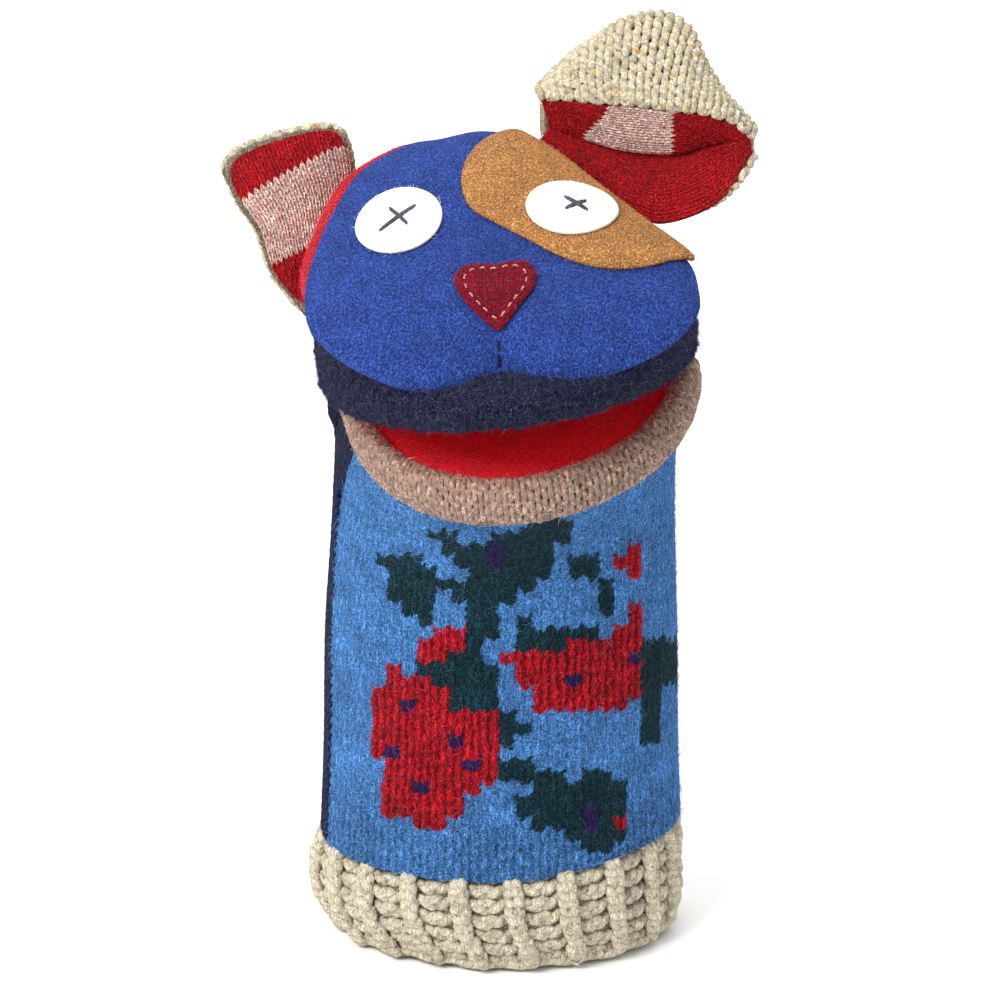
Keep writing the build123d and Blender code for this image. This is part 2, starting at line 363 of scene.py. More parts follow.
def bun(rings):
    """A closed mesh from rings of places, the first and last drawn together to a point."""
    count = len(rings[0])
    tips = [ring.mean(axis=0, keepdims=True) for ring in (rings[0], rings[-1])]
    places = tips[:1] + list(rings[1:-1]) + tips[1:]
    body = 1 + np.arange((len(rings) - 2) * count).reshape(len(rings) - 2, count).T
    faces = quads_of(body, wrap=True, flip=True)
    last = 1 + body.size
    around = np.append(np.arange(count), 0)
    faces += [[0, int(body[a, 0]), int(body[b, 0])] for a, b in zip(around[:-1], around[1:])]
    faces += [[last, int(body[b, -1]), int(body[a, -1])] for a, b in zip(around[:-1], around[1:])]
    return np.concatenate(places), faces


def cloth_size(grid):
    """Width and length of the flat cut and its area, in metres, from a grid of places in millimetres."""
    across = np.linalg.norm(np.diff(grid, axis=0), axis=2).sum(axis=0).mean()
    down = np.linalg.norm(np.diff(grid, axis=1), axis=2).sum(axis=1).mean()
    first = grid[1:, 1:] - grid[:-1, :-1]
    second = grid[:-1, 1:] - grid[1:, :-1]
    area = np.linalg.norm(np.cross(first, second), axis=2).sum() / 2
    return (across * MM, down * MM), area * MM * MM


def declare_sheet(grid):
    flat, area = cloth_size(grid)
    area = min(area, flat[0] * flat[1])


# ---------------------------------------------------------------- knitting


def knit_relief(column, row, leg=0.7, groove=0.55):
    """Height from 0 to 1 of knit V stitches, at places given in stitch columns and rows."""
    side = np.abs(column - np.floor(column) - 0.5)
    strand = np.sin(math.pi * np.clip(2 * side, 0, 1)) ** leg
    slant = row - 1.5 * side
    return strand * (1 - groove + groove * np.sin(math.pi * (slant - np.floor(slant))) ** 0.6)


def tubes(paths, normals, radii, sides):
    """Round yarn along closed or open paths: places, faces and strand coordinates."""
    places, faces, uvs = [], [], []
    start = 0
    angles = np.arange(sides) * 2 * math.pi / sides
    for path, normal, (radius, closed) in zip(paths, normals, radii):
        if closed:
            along = np.roll(path, -1, axis=0) - np.roll(path, 1, axis=0)
        else:
            along = np.gradient(path, axis=0)
        along /= np.linalg.norm(along, axis=1, keepdims=True)
        up = normal - (normal * along).sum(axis=1, keepdims=True) * along
        up /= np.maximum(np.linalg.norm(up, axis=1, keepdims=True), 1e-9)
        side = np.cross(along, up)
        thick = np.asarray(radius, float).reshape(-1, 1, 1)
        ring = up[:, None] * np.cos(angles)[None, :, None] + side[:, None] * np.sin(angles)[None, :, None]
        places.append((path[:, None] + ring * thick).reshape(-1, 3))
        index = start + np.arange(len(path) * sides).reshape(len(path), sides)
        index = np.concatenate([index, index[:, :1]], axis=1)
        travel = np.concatenate([[0], np.cumsum(np.linalg.norm(np.diff(path, axis=0), axis=1))])
        if closed:
            index = np.concatenate([index, index[:1]], axis=0)
            travel = np.append(travel, travel[-1] + np.linalg.norm(path[0] - path[-1]))
        faces += quads_of(index)
        turn = np.arange(sides + 1) / sides
        u, v = np.meshgrid(travel, turn, indexing="ij")
        cell = np.stack([u, v], axis=-1)
        corner = [cell[:-1, :-1], cell[1:, :-1], cell[1:, 1:], cell[:-1, 1:]]
        uvs.append(np.stack([c.reshape(-1, 2) for c in corner], axis=1).reshape(-1, 2))
        if not closed:
            faces.append([int(i) for i in index[0, :-1]])
            faces.append([int(i) for i in index[-1, :-1][::-1]])
            uvs.append(np.tile([travel[0], 0.5], (sides, 1)))
            uvs.append(np.tile([travel[-1], 0.5], (sides, 1)))
        start += len(path) * sides
    return np.concatenate(places), faces, np.concatenate(uvs)


class Fabric:
    """A base surface that yarn and fibres are laid on, read by its two coordinates from 0 to 1."""

    def __init__(self, grid, wrap=False):
        self.grid = np.concatenate([grid, grid[:1]], axis=0) if wrap else grid
        normals = normals_of(grid, wrap)
        self.normals = np.concatenate([normals, normals[:1]], axis=0) if wrap else normals

    def at(self, across, down):
        last_u, last_v = self.grid.shape[0] - 1, self.grid.shape[1] - 1
        u = np.clip(across, 0, 1) * last_u
        v = np.clip(down, 0, 1) * last_v
        i = np.minimum(u.astype(int), last_u - 1)
        j = np.minimum(v.astype(int), last_v - 1)
        fu = (u - i)[..., None]
        fv = (v - j)[..., None]
        found = []
        for table in (self.grid, self.normals):
            low = table[i, j] * (1 - fu) + table[i + 1, j] * fu
            high = table[i, j + 1] * (1 - fu) + table[i + 1, j + 1] * fu
            found.append(low * (1 - fv) + high * fv)
        normal = found[1] / np.maximum(np.linalg.norm(found[1], axis=-1, keepdims=True), 1e-9)
        return found[0], normal


LOOP_STEPS = 14  # places along one loop of yarn
YARN_SIDES = 8


def knit_rows(fabric, columns, rows, loop, depth, radius, seed):
    """Paths of every row of looped yarn over a fabric, in plain knit."""
    rng = np.random.default_rng(seed)
    paths, normals, radii = [], [], []
    turn = np.arange(columns * LOOP_STEPS + 1) * 2 * math.pi / LOOP_STEPS
    for row in range(rows):
        across = turn / (2 * math.pi) + 0.17 * np.sin(2 * turn)
        sway = rng.normal(size=(4,))
        uneven = sum(sway[k] * np.sin(turn / columns * (k + 2) + 9 * sway[k]) for k in range(4)) * 0.05
        down = (row + 0.5 - loop * np.cos(turn) + uneven) / rows
        lift = -depth * np.cos(2 * turn)
        place, normal = fabric.at(across / columns, down)
        paths.append(place + normal * lift[:, None])
        normals.append(normal)
        slubs = 0.10 * np.sin(turn * 0.37 + 5 * sway[0]) + 0.06 * np.sin(turn * 1.9 + 3 * sway[1])
        radii.append((radius * (1 + slubs), False))
    return paths, normals, radii


def rib_strands(fabric, ribs, rows, radius, seed):
    """Chunky ribbing, strand by strand: V legs up each knit column, small arcs in the sunk part between."""
    rng = np.random.default_rng(seed)
    t = np.linspace(0, 1, 11)
    arc = np.sin(math.pi * t)
    swell = radius * (1 - 0.38 * (2 * t - 1) ** 4)
    # each strand: across from and to, rows up from and to, arch, lift at its start and end,
    # how far its middle rises, and its girth
    strands = (
        (0.20, 0.11, 0.02, 1.50, 0.0, 1.5, 0.3, 0.7, 1.05),
        (0.24, 0.33, 0.02, 1.50, 0.0, 1.5, 0.3, 0.7, 1.05),
        (0.50, 0.94, 0.20, 0.20, 0.36, -1.5, -1.5, 0.8, 1.0),
        (0.36, 0.72, 0.75, 0.10, -0.12, -1.0, -1.3, 0.5, 0.95),
        (1.08, 0.72, 0.75, 0.10, -0.12, -1.0, -1.3, 0.5, 0.95),
    )
    paths, normals, radii = [], [], []
    for row in range(rows):
        for rib in range(ribs):
            for x0, x1, y0, y1, arch, l0, l1, middle, girth in strands:
                jog = rng.uniform(-1, 1, 5)
                across = rib + x0 + (x1 - x0) * t + 0.012 * jog[0]
                down = row + y0 + (y1 - y0) * t + arch * arc + 0.07 * jog[1] + 0.12 * jog[2] * (t - 0.5)
                lift = l0 + (l1 - l0) * t + middle * arc + 0.22 * jog[3]
                place, normal = fabric.at((across / ribs) % 1.0, down / (rows + 0.8))
                paths.append(place + normal * lift[:, None])
                normals.append(normal)
                radii.append((swell * girth * (1 + 0.10 * jog[4]), False))
    edge, normal = fabric.at(np.arange(360) / 360, np.zeros(360))
    lift = 0.4 + 0.5 * np.cos(np.arange(360) * math.pi / 180 * ribs)
    paths.append(edge + normal * lift[:, None] + np.array([0, 0, 0.4]))
    normals.append(normal)
    radii.append((np.full(360, radius), True))
    return paths, normals, radii


def looped_cloth(node, grid, knit, materials, body, sunk, step, seed):
    """Looped yarn over a surface, and the thin ground cloth that lies sunk millimetres under it, in a darker
    colour as painted shade between the loops.
    """
    places, faces, uvs = tubes(*knit_rows(Fabric(grid), *knit, seed), YARN_SIDES)
    loops = new_piece(node + "_yarn", places, faces, materials[0], body, (node,), uvs=uvs)
    inner = (grid - normals_of(grid) * sunk)[::step, ::step]
    places, faces = shell(inner, np.zeros(inner.shape[:2]), 1.2, 1)
    core = new_piece(node + "_ground", places, faces, materials[1], body, (node,))
    declare_sheet(inner)


def fibre_piece(name, sources, count, length, lift, thick, body, material, seed):
    """Short stray wool fibres standing and lying on the pieces in sources, in their own colours."""
    rng = np.random.default_rng(seed)
    starts, ways, tints = [], [], []
    for piece, share, tint in sources:
        mesh = piece.data
        total = len(mesh.vertices)
        place = np.empty(total * 3)
        mesh.vertices.foreach_get("co", place)
        normal = np.empty(total * 3)
        mesh.vertices.foreach_get("normal", normal)
        place = place.reshape(-1, 3) / MM
        normal = normal.reshape(-1, 3)
        picked = rng.integers(0, total, int(count * share))
        if tint is None:
            shade = np.empty(total * 4)
            mesh.color_attributes["wool"].data.foreach_get("color", shade)
            shade = shade.reshape(-1, 4)[picked, :3]
        else:
            shade = np.tile(tint, (len(picked), 1))
        starts.append(place[picked])
        ways.append(normal[picked])
        tints.append(shade)
    start = np.concatenate(starts)
    normal = np.concatenate(ways)
    tint = np.concatenate(tints)
    total = len(start)
    lay = np.cross(normal, rng.normal(size=(total, 3)))
    lay /= np.maximum(np.linalg.norm(lay, axis=1, keepdims=True), 1e-6)
    bend = np.cross(normal, lay) * rng.normal(size=(total, 1)) * 0.5
    rise = lift * rng.uniform(0.1, 1.0, (total, 1)) ** 2
    size = length * rng.uniform(0.4, 1.5, (total, 1))
    p0 = start - normal * 0.05
    p1 = start + (lay + bend * 0.3) * size * 0.5 + normal * (0.15 + rise * size * 0.45)
    p2 = start + (lay + bend) * size * 0.95 + normal * (0.10 + rise * size)
    side = np.cross(lay, normal)
    ring = []
    for angle in (0, 2 * math.pi / 3, 4 * math.pi / 3):
        ring.append((side * math.cos(angle) + normal * math.sin(angle)) * thick)
    places = np.stack([p0 + r for r in ring] + [p1 + r * 0.8 for r in ring] + [p2], axis=1).reshape(-1, 3)
    base = np.arange(total)[:, None] * 7
    faces = []
    for k in range(3):
        n = (k + 1) % 3
        faces += (base + np.array([k, n, 3 + n, 3 + k])).tolist()
        faces += (base + np.array([3 + k, 3 + n, 6])).tolist()
    faces += (base + np.array([2, 1, 0])).tolist()
    bright = rng.uniform(0.6, 2.6, (total, 1))
    pale = rng.uniform(0, 1, (total, 1)) ** 7 * 0.30
    tint = np.clip(tint * bright * (1 - pale) + pale * 0.6, 0, 1)
    return new_piece(name, places, faces, material, body, tint=np.repeat(tint, 7, axis=0))


# ---------------------------------------------------------------- materials


class Nodes:
    """Short names for building one procedural material."""

    def __init__(self, name):
        self.material = bpy.data.materials.new(name)
        self.material.use_nodes = True
        self.tree = self.material.node_tree
        self.shader = self.tree.nodes["Principled BSDF"]

    def add(self, kind, **settings):
        node = self.tree.nodes.new(kind)
        for key, value in settings.items():
            setattr(node, key, value)
        return node

    def link(self, source, target):
        self.tree.links.new(source, target)

    def feed(self, socket, value):
        if isinstance(value, bpy.types.NodeSocket):
            self.link(value, socket)
        else:
            socket.default_value = value

    def math(self, operation, a, b=0.0, c=0.0, clamp=False):
        node = self.add("ShaderNodeMath", operation=operation, use_clamp=clamp)
        for socket, value in zip(node.inputs, (a, b, c)):
            self.feed(socket, value)
        return node.outputs[0]

    def ramp(self, value, low, high):
        node = self.add("ShaderNodeMapRange", interpolation_type="SMOOTHSTEP")
        self.feed(node.inputs["Value"], value)
        node.inputs["From Min"].default_value = low
        node.inputs["From Max"].default_value = high
        return node.outputs[0]

    def mix(self, share, a, b, blend="MIX"):
        node = self.add("ShaderNodeMix", data_type="RGBA", blend_type=blend)
        self.feed(node.inputs[0], share)
        self.feed(node.inputs[6], a)
        self.feed(node.inputs[7], b)
        return node.outputs[2]

    def noise(self, scale, turn=(0, 0, 0), detail=2.0):
        where = self.add("ShaderNodeTexCoord")
        mapping = self.add("ShaderNodeMapping")
        mapping.inputs["Rotation"].default_value = turn
        mapping.inputs["Scale"].default_value = scale
        self.link(where.outputs["Object"], mapping.inputs["Vector"])
        noise = self.add("ShaderNodeTexNoise")
        noise.inputs["Scale"].default_value = 1.0
        noise.inputs["Detail"].default_value = detail
        self.link(mapping.outputs["Vector"], noise.inputs["Vector"])
        return noise.outputs[0]

    def streaks(self, across=1900.0, along=260.0, low=0.56, high=0.70):
        """Crossed fibres: thin bright lines lying several ways over the surface, partly the fibres' own
        lighter tone and partly painted highlight.
        """
        turns = ((0.4, 0.3, 0.9), (1.3, 0.2, 2.1), (0.2, 1.2, 0.4), (2.0, 0.8, 1.4))
        total = None
        for turn in turns:
            line = self.ramp(self.noise((across, across, along), turn, 1.0), low, high)
            total = line if total is None else self.math("MAXIMUM", total, line)
        return total

    def stitches(self):
        """Column, row and V height of the knitting, from the piece's own stitch coordinates."""
        source = self.add("ShaderNodeAttribute", attribute_name="stitches")
        split = self.add("ShaderNodeSeparateXYZ")
        self.link(source.outputs["Vector"], split.inputs[0])
        column, row = split.outputs[0], split.outputs[1]
        side = self.math("ABSOLUTE", self.math("SUBTRACT", self.math("FRACT", column), 0.5))
        strand = self.math("POWER", self.math("SINE", self.math("MULTIPLY", side, 2 * math.pi)), 0.7)
        slant = self.math("MULTIPLY_ADD", side, -1.5, row)
        beat = self.math("SINE", self.math("MULTIPLY", self.math("FRACT", slant), math.pi))
        height = self.math("MULTIPLY", strand, self.math("MULTIPLY_ADD", beat, 0.5, 0.5))
        return column, self.math("FLOOR", slant), height

    def bump(self, height, strength, distance, under=None):
        node = self.add("ShaderNodeBump")
        node.inputs["Strength"].default_value = strength
        node.inputs["Distance"].default_value = distance
        self.link(height, node.inputs["Height"])
        if under is not None:
            self.link(under, node.inputs["Normal"])
        return node.outputs[0]

    def finish(self, tint, normal, sheen=0.03, rough=0.92):
        self.link(tint, self.shader.inputs["Base Color"])
        self.link(normal, self.shader.inputs["Normal"])
        self.shader.inputs["Roughness"].default_value = rough
        self.shader.inputs["Sheen Weight"].default_value = sheen
        self.shader.inputs["Sheen Roughness"].default_value = 0.45
        self.shader.inputs["Specular IOR Level"].default_value = 0.08
        return self.material


def rgba(tint):
    return (*tint, 1.0)


def wool(name, tint, streak=0.6, pale=0.05, knit=0.0, fine=0.0004, banded=None, grain=0.5, groove=0.5):
    """Felted or knitted wool.

    tint is a colour, or None for the piece's own. knit is the depth of the V stitches; groove darkens their
    grooves as painted shade.
    """
    n = Nodes(name)
    if tint is None:
        base = n.add("ShaderNodeAttribute", attribute_name="wool").outputs["Color"]
    else:
        base = n.add("ShaderNodeRGB").outputs[0]
        base.default_value = rgba(tint)
    normal = None
    height = None
    if knit:
        _, row, height = n.stitches()
        if banded:
            for first, last, band in banded:
                inside = n.math("MULTIPLY", n.math("GREATER_THAN", row, first - 0.5),
                                n.math("LESS_THAN", row, last - 0.5))
                base = n.mix(inside, base, rgba(band))
        # painted shade: the grooves between the stitches' V legs are darkened in the colour, as if in shadow
        painted_groove_shade = n.math("MULTIPLY", n.math("SUBTRACT", 1.0, n.ramp(height, 0.05, 0.6)), groove)
        base = n.mix(painted_groove_shade, base, n.mix(1.0, base, rgba((0.25, 0.22, 0.25)), "MULTIPLY"))
        normal = n.bump(height, 0.8, knit)
    mottle = n.noise((130, 130, 130), detail=3.0)
    cloud = 1.0 - 0.5 * grain
    base = n.mix(n.ramp(mottle, 0.3, 0.7), n.mix(1.0, base, rgba((cloud, cloud, cloud)), "MULTIPLY"), base)
    lines = n.streaks()
    # bright fibre lines: partly the fibres' own lighter tone, partly painted highlight; the pale grey added
    # on them is a painted glint
    bright = n.mix(1.0, n.mix(1.0, base, rgba((2.0, 2.0, 2.0)), "MULTIPLY"), rgba((pale, pale, pale)), "ADD")
    base = n.mix(n.math("MULTIPLY", lines, streak), base, bright)
    speck = n.ramp(n.noise((1700, 1700, 1700), detail=2.0), 0.38, 0.62)
    shade = n.mix(speck, rgba([1.0 - grain] * 3), rgba([1.0 + 0.6 * grain] * 3))
    base = n.mix(1.0, base, shade, "MULTIPLY")
    relief = n.math("ADD", n.math("MULTIPLY", lines, 0.7), speck)
    normal = n.bump(relief, 0.75, fine, normal)
    return n.finish(base, normal)


def yarn(name, tint, flecks, ply=2.6, turns=2.0, painted_groove_shade=0.45):
    """Chunky spun yarn: twisted plies along the strand, heather and flecks, with painted shade in the grooves
    between the plies.
    """
    n = Nodes(name)
    base = n.add("ShaderNodeRGB").outputs[0]
    base.default_value = rgba(tint)
    heather = n.noise((260, 260, 260), detail=4.0)
    base = n.mix(n.math("MULTIPLY", n.ramp(heather, 0.45, 0.70), 0.55), base, rgba([c * 0.50 for c in tint]))
    for k, (fleck, low) in enumerate(flecks):
        spot = n.noise((620 - 60 * k, 640, 520 + 90 * k), (0.5 * k, 0.9, 0.7 * k), 1.0)
        base = n.mix(n.ramp(spot, low, low + 0.05), base, rgba(fleck))
    strand = n.add("ShaderNodeUVMap", uv_map="strand")
    split = n.add("ShaderNodeSeparateXYZ")
    n.link(strand.outputs[0], split.inputs[0])
    along = n.math("MULTIPLY", split.outputs[0], 1 / ply)
    around = n.math("MULTIPLY", split.outputs[1], turns)
    phase = n.math("ADD", along, around)
    twist = n.math("ABSOLUTE", n.math("SINE", n.math("MULTIPLY", phase, math.pi)))
    # painted shade: darker in the grooves of the twist between the plies
    base = n.mix(n.math("MULTIPLY", n.ramp(twist, 0.5, 0.0), painted_groove_shade), base,
                 n.mix(1.0, base, rgba((0.4, 0.36, 0.33)), "MULTIPLY"))
    lines = n.streaks(1500.0, 330.0)
    # bright fibre lines on the yarn: partly lighter fibres, partly painted highlight
    bright = n.mix(1.0, base, rgba((1.7, 1.7, 1.65)), "MULTIPLY")
    base = n.mix(n.math("MULTIPLY", lines, 0.6), base, bright)
    speck = n.ramp(n.noise((2400, 2400, 2400), detail=1.0), 0.35, 0.65)
    base = n.mix(1.0, base, n.mix(speck, rgba((0.76, 0.74, 0.72)), rgba((1.12, 1.12, 1.12))), "MULTIPLY")
    normal = n.bump(twist, 0.7, 0.0005)
    normal = n.bump(lines, 0.6, 0.0003, normal)
    return n.finish(base, normal, 0.05)


def fibre_wool(name):
    n = Nodes(name)
    tint = n.add("ShaderNodeAttribute", attribute_name="wool").outputs["Color"]
    grain = n.ramp(n.noise((900, 900, 900)), 0.2, 0.8)
    normal = n.bump(grain, 0.2, 0.0001)
    return n.finish(tint, normal, 0.05, 0.75)


def board_material(name):
    n = Nodes(name)
    grain = n.noise((60, 900, 900), detail=3.0)
    tint = n.mix(n.ramp(grain, 0.3, 0.7), rgba((0.30, 0.29, 0.27)), rgba((0.44, 0.43, 0.40)))
    return n.finish(tint, n.bump(grain, 0.3, 0.0002), 0.0, 0.7)


# ---------------------------------------------------------------- sleeve


def even_angles(first, last, count):
    """Angles round the sleeve's ellipse that are evenly spaced along the cloth."""
    dense = np.linspace(first, last, 721)
    step = np.hypot(54.6 * np.sin(dense), SLEEVE_DEPTH * np.cos(dense))
    travel = np.concatenate([[0], np.cumsum((step[1:] + step[:-1]) / 2)])
    return np.interp(np.linspace(0, travel[-1], count), travel, dense)


def sleeve_wall(angle, z):
    t = (z - 34.0) / 116.0
    x = 1.3 * t + (56.2 - 3.2 * t) * np.cos(angle)
    return np.stack([x, SLEEVE_DEPTH * np.sin(angle) + 0 * z, z + 0 * x], axis=-1)


def mouth_ring(angle, inset, chin_drop, nape_rise):
    """Where the sleeve's top is sewn: under the chin band in front, inside the head behind."""
    s = np.sin(angle)
    depth = np.where(s < 0, JAW_DEPTH, NAPE_DEPTH) - inset
    x = (JAW_HALF_WIDTH - inset) * np.cos(angle)
    x = np.where(x < 0, x * jaw_pull(-s), x)
    y = HINGE[1] + depth * s
    chin = HINGE[2] - HINGE_GAP - (HINGE[1] - y) * CHIN_TILT - chin_drop
    nape = HINGE[2] + HINGE_GAP + (HINGE[1] - y) * PALATE_TILT + nape_rise
    back = smoothstep(-0.02, 0.14, s)
    return leaned(np.stack([x, y, chin * (1 - back) + nape * back], axis=-1))


def cuff_top(x):
    """Height of the seam between the cuff and the panels, higher on the viewer's right."""
    return 33.6 + 5.4 * smoothstep(0, 54, x)


def sleeve_grid(first, last, across, up):
    angle = even_angles(first, last, across)
    ring = mouth_ring(angle, 2.6, 6.5, 5.0)
    foot = cuff_top(56.0 * np.cos(angle)) - 2.0
    rise = np.linspace(0, 1, up)
    z = foot[:, None] + (ring[:, 2] - foot)[:, None] * rise[None, :]
    wall = sleeve_wall(angle[:, None], z)
    flare = 24.0 + 26.0 * np.clip(-np.sin(angle), 0, 1)
    t = np.clip(1 - (ring[:, 2:3] - z) / flare[:, None], 0, 1)[..., None] ** 2
    grid = wall * (1 - t) + ring[:, None] * t
    grid[..., 2] = z
    normal = normals_of(grid)
    sag = ripple(grid, 62.0, 3) * 0.9 * np.sin(math.pi * rise)[None, :]
    return grid + normal * sag[..., None]


def chart_letters(x, z):
    """Letter codes of the sleeve chart at these places: 0 ground, 1 leaf, 2 flower, 3 speck."""
    table = np.array([[".grp".index(letter) for letter in line] for line in CHART])
    column = np.floor((x - CHART_LEFT) / STITCH_WIDE).astype(int)
    row = np.floor((CHART_TOP - z) / STITCH_TALL).astype(int)
    inside = (column >= 0) & (column < table.shape[1]) & (row >= 0) & (row < table.shape[0])
    row = np.clip(row, 0, len(CHART) - 1)
    column = np.clip(column, 0, table.shape[1] - 1)
    return np.where(inside, table[row, column], 0)


def make_front_panel(sizes, tints, wools):
    across, up, wales = 301, 281, 29
    grid = sleeve_grid(math.pi + SIDE_SEAM, 2 * math.pi + SIDE_SEAM, across, up)
    facing = grid[..., 2] + math.tan(VIEW_TILT) * (grid[..., 1] + SLEEVE_DEPTH)
    wale = np.broadcast_to(np.linspace(0, wales, across)[:, None], (across, up))
    wale = wale + 0.10 * ripple(grid, 9.0, 11) + 0.09 * ripple(grid, 2.6, 12)
    side = np.abs(wale - np.floor(wale) - 0.5)
    level = -(CHART_TOP - facing) / STITCH_TALL + 0.16 * ripple(grid, 7.0, 13) + 0.13 * ripple(grid, 2.3, 14)
    centre = (np.floor(wale) + 0.5) / wales * (across - 1)
    x = np.take_along_axis(grid[..., 0], np.clip(centre.round().astype(int), 0, across - 1), axis=0)
    stitch = np.floor(level - 0.9 * side + 0.22) + 0.5
    code = chart_letters(x, CHART_TOP + stitch * STITCH_TALL)
    height = knit_relief(wale, level)
    ribs = np.sin(math.pi * np.clip(2 * side, 0, 1)) ** 0.6
    # low deepens the ground's stitches near the cuff, both in relief and in the painted groove shade below
    low = smoothstep(62.0, 40.0, grid[..., 2]) * 0.35
    depth = np.choose(code, [0.28 + low, 0.34, 0.95, 0.4])
    relief = depth * (0.6 * height + 0.4 * ribs)
    relief = relief + 0.10 * ripple(grid, 2.2, 15) + 0.07 * ripple(grid, 1.3, 16)
    palette = np.array([tuple(tint) for tint in (tints.ground, tints.leaf, tints.flower, tints.speck)])
    tint = palette[code]
    # painted shade: the colour darkens in the grooves between ribs and stitches; cloud is uneven tone of the
    # wool
    groove = 1 - np.choose(code, [0.25 + low, 0.35, 0.85, 0.4]) * (1 - ribs * (0.4 + 0.6 * height))
    cloud = 1 + 0.10 * ripple(grid, 24.0, 17) + 0.12 * ripple(grid, 5.0, 18)
    tint = tint * (groove * cloud)[..., None]
    places, faces = shell(grid, relief, 2.4, 4)
    piece = new_piece("front_panel_knit", places, faces, wools["sleeve"], None,
                      ("front_panel", "throat_gather"), tint=both_sides(tint, 4))
    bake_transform(piece)
    declare_sheet(grid[::4, ::4])
    return piece


def make_back_panel(sizes, tints, wools):
    across, up, wales = 241, 241, 40
    grid = sleeve_grid(SIDE_SEAM, math.pi + SIDE_SEAM, across, up)
    wale = np.broadcast_to(np.linspace(0, wales, across)[:, None], (across, up))
    row = grid[..., 2] / 3.0
    relief = 0.35 * knit_relief(wale, row) + 0.10 * ripple(grid, 2.4, 25)
    places, faces = shell(grid, relief, 2.4, 4)
    stitches = np.stack([wale, row], axis=-1)
    piece = new_piece("back_panel_knit", places, faces, wools["back"], None,
                      ("back_panel", "nape_gather"), stitches=both_sides(stitches, 4))
    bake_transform(piece)
    declare_sheet(grid[::4, ::4])
    return piece


def make_side_seams(sizes, tints, wools):
    """Overcast yarn down each side, where front and back panels meet."""
    for name, angle in (("left_side_seam", math.pi + SIDE_SEAM), ("right_side_seam", SIDE_SEAM)):
        top = mouth_ring(np.array([angle]), 2.6, 6.5, 5.0)[0, 2] - 16.0
        z = np.linspace(float(cuff_top(56 * math.cos(angle))), top, 360)
        line = sleeve_wall(np.full(len(z), angle), z)
        out = np.stack([np.cos(angle) / 54 + 0 * z, np.sin(angle) / SLEEVE_DEPTH + 0 * z, 0 * z], axis=-1)
        out /= np.linalg.norm(out, axis=1, keepdims=True)
        along = np.stack([-out[:, 1], out[:, 0], 0 * z], axis=-1)
        turn = z * 2 * math.pi / 3.4
        path = line + along * (1.1 * np.sin(turn))[:, None] + out * (0.5 + 0.5 * np.cos(turn))[:, None]
        places, faces, uvs = tubes([path], [out], [(0.55, False)], 6)
        new_piece(name + "_yarn", places, faces, wools["navy_yarn"], "sleeve", (name,), uvs=uvs)


def ring_grid(rows, count):
    """Rings of places round the sleeve from rows of height, centre x, half width and half depth."""
    lines = smooth_line(rows, 24)
    z, cx, a, b = (lines[:, k][None, :] for k in range(4))
    angle = np.linspace(0, 2 * math.pi, count, endpoint=False)[:, None]
    angle = angle + 0.11 * (1 - np.cos(angle)) * (1 - z / 34)
    x = cx + a * np.cos(angle)
    lift = (cuff_top(x) - 33.6) * z / 33.5
    return np.stack([x, b * np.sin(angle), z + lift], axis=-1)


def make_cuff(sizes, tints, wools):
    rows = [(2.6, 1.9, 51.4, 39.2), (9, 0.4, 54.4, 42.0), (17, -1.3, 56.0, 43.0), (26, -0.8, 55.2, 42.4),
            (29.5, -0.5, 53.8, 41.0), (32.5, -0.2, 50.4, 37.8), (35.5, 0.0, 47.0, 34.6)]
    grid = ring_grid(rows, 240)
    grid += normals_of(grid, True) * (ripple(grid, 45.0, 5) * 0.7)[..., None]
    fabric = Fabric(grid, True)
    places, faces, uvs = tubes(*rib_strands(fabric, sizes.cuff_ribs, sizes.cuff_rows, 1.75, 8), 8)
    loops = new_piece("ribbed_cuff_yarn", places, faces, wools["cuff"], "sleeve",
                      ("ribbed_cuff",),
                      uvs=uvs)
    # the ground sheet under the cuff yarn is coloured darker than the yarn: painted shade between the ribs
    inner = grid - normals_of(grid, True) * 1.2
    places, faces = shell(inner, np.zeros(inner.shape[:2]), 1.6, 2, wrap=True)
    core = new_piece("ribbed_cuff_ground", places, faces, wools["cuff_ground"], "sleeve",
                     ("ribbed_cuff",))
    declare_sheet(np.concatenate([inner, inner[:1]]))
    angle = np.linspace(0, 2 * math.pi, 480, endpoint=False)
    z = cuff_top(56 * np.cos(angle)) + 0.9
    line = sleeve_wall(angle, z)
    out = np.stack([np.cos(angle) / 54, np.sin(angle) / SLEEVE_DEPTH, 0 * angle], axis=-1)
    turn = angle * 80
    path = line + out / np.linalg.norm(out, axis=1, keepdims=True) * (0.3 * np.cos(turn) - 0.7)[:, None]
    path[:, 2] += 0.5 * np.sin(turn)
    places, faces, uvs = tubes([path], [out], [(0.6, True)], 6)
    new_piece("cuff_seam_yarn", places, faces, wools["seam_yarn"], "sleeve", ("cuff_seam",),
              uvs=uvs)


# ---------------------------------------------------------------- jaws


def jaw_pull(share):
    """How the jaw is drawn in on its left side, from the hinge line (0) to the front (1)."""
    return 1.0 - 0.11 * smoothstep(0.0, 0.4, share)


def jaw_edge(s, inset, height):
    """Upright places on the lower jaw's round edge; s runs 0 to 1 from the viewer's left to the right."""
    x = -(JAW_HALF_WIDTH - inset) * np.cos(math.pi * s)
    x = np.where(x < 0, x * jaw_pull(0.25 + np.sin(math.pi * s)), x)
    y = HINGE[1] - (JAW_DEPTH - inset) * np.sin(math.pi * s)
    z = HINGE[2] - HINGE_GAP - (HINGE[1] - y) * CHIN_TILT + height
    return np.stack([x, y, z], axis=-1)


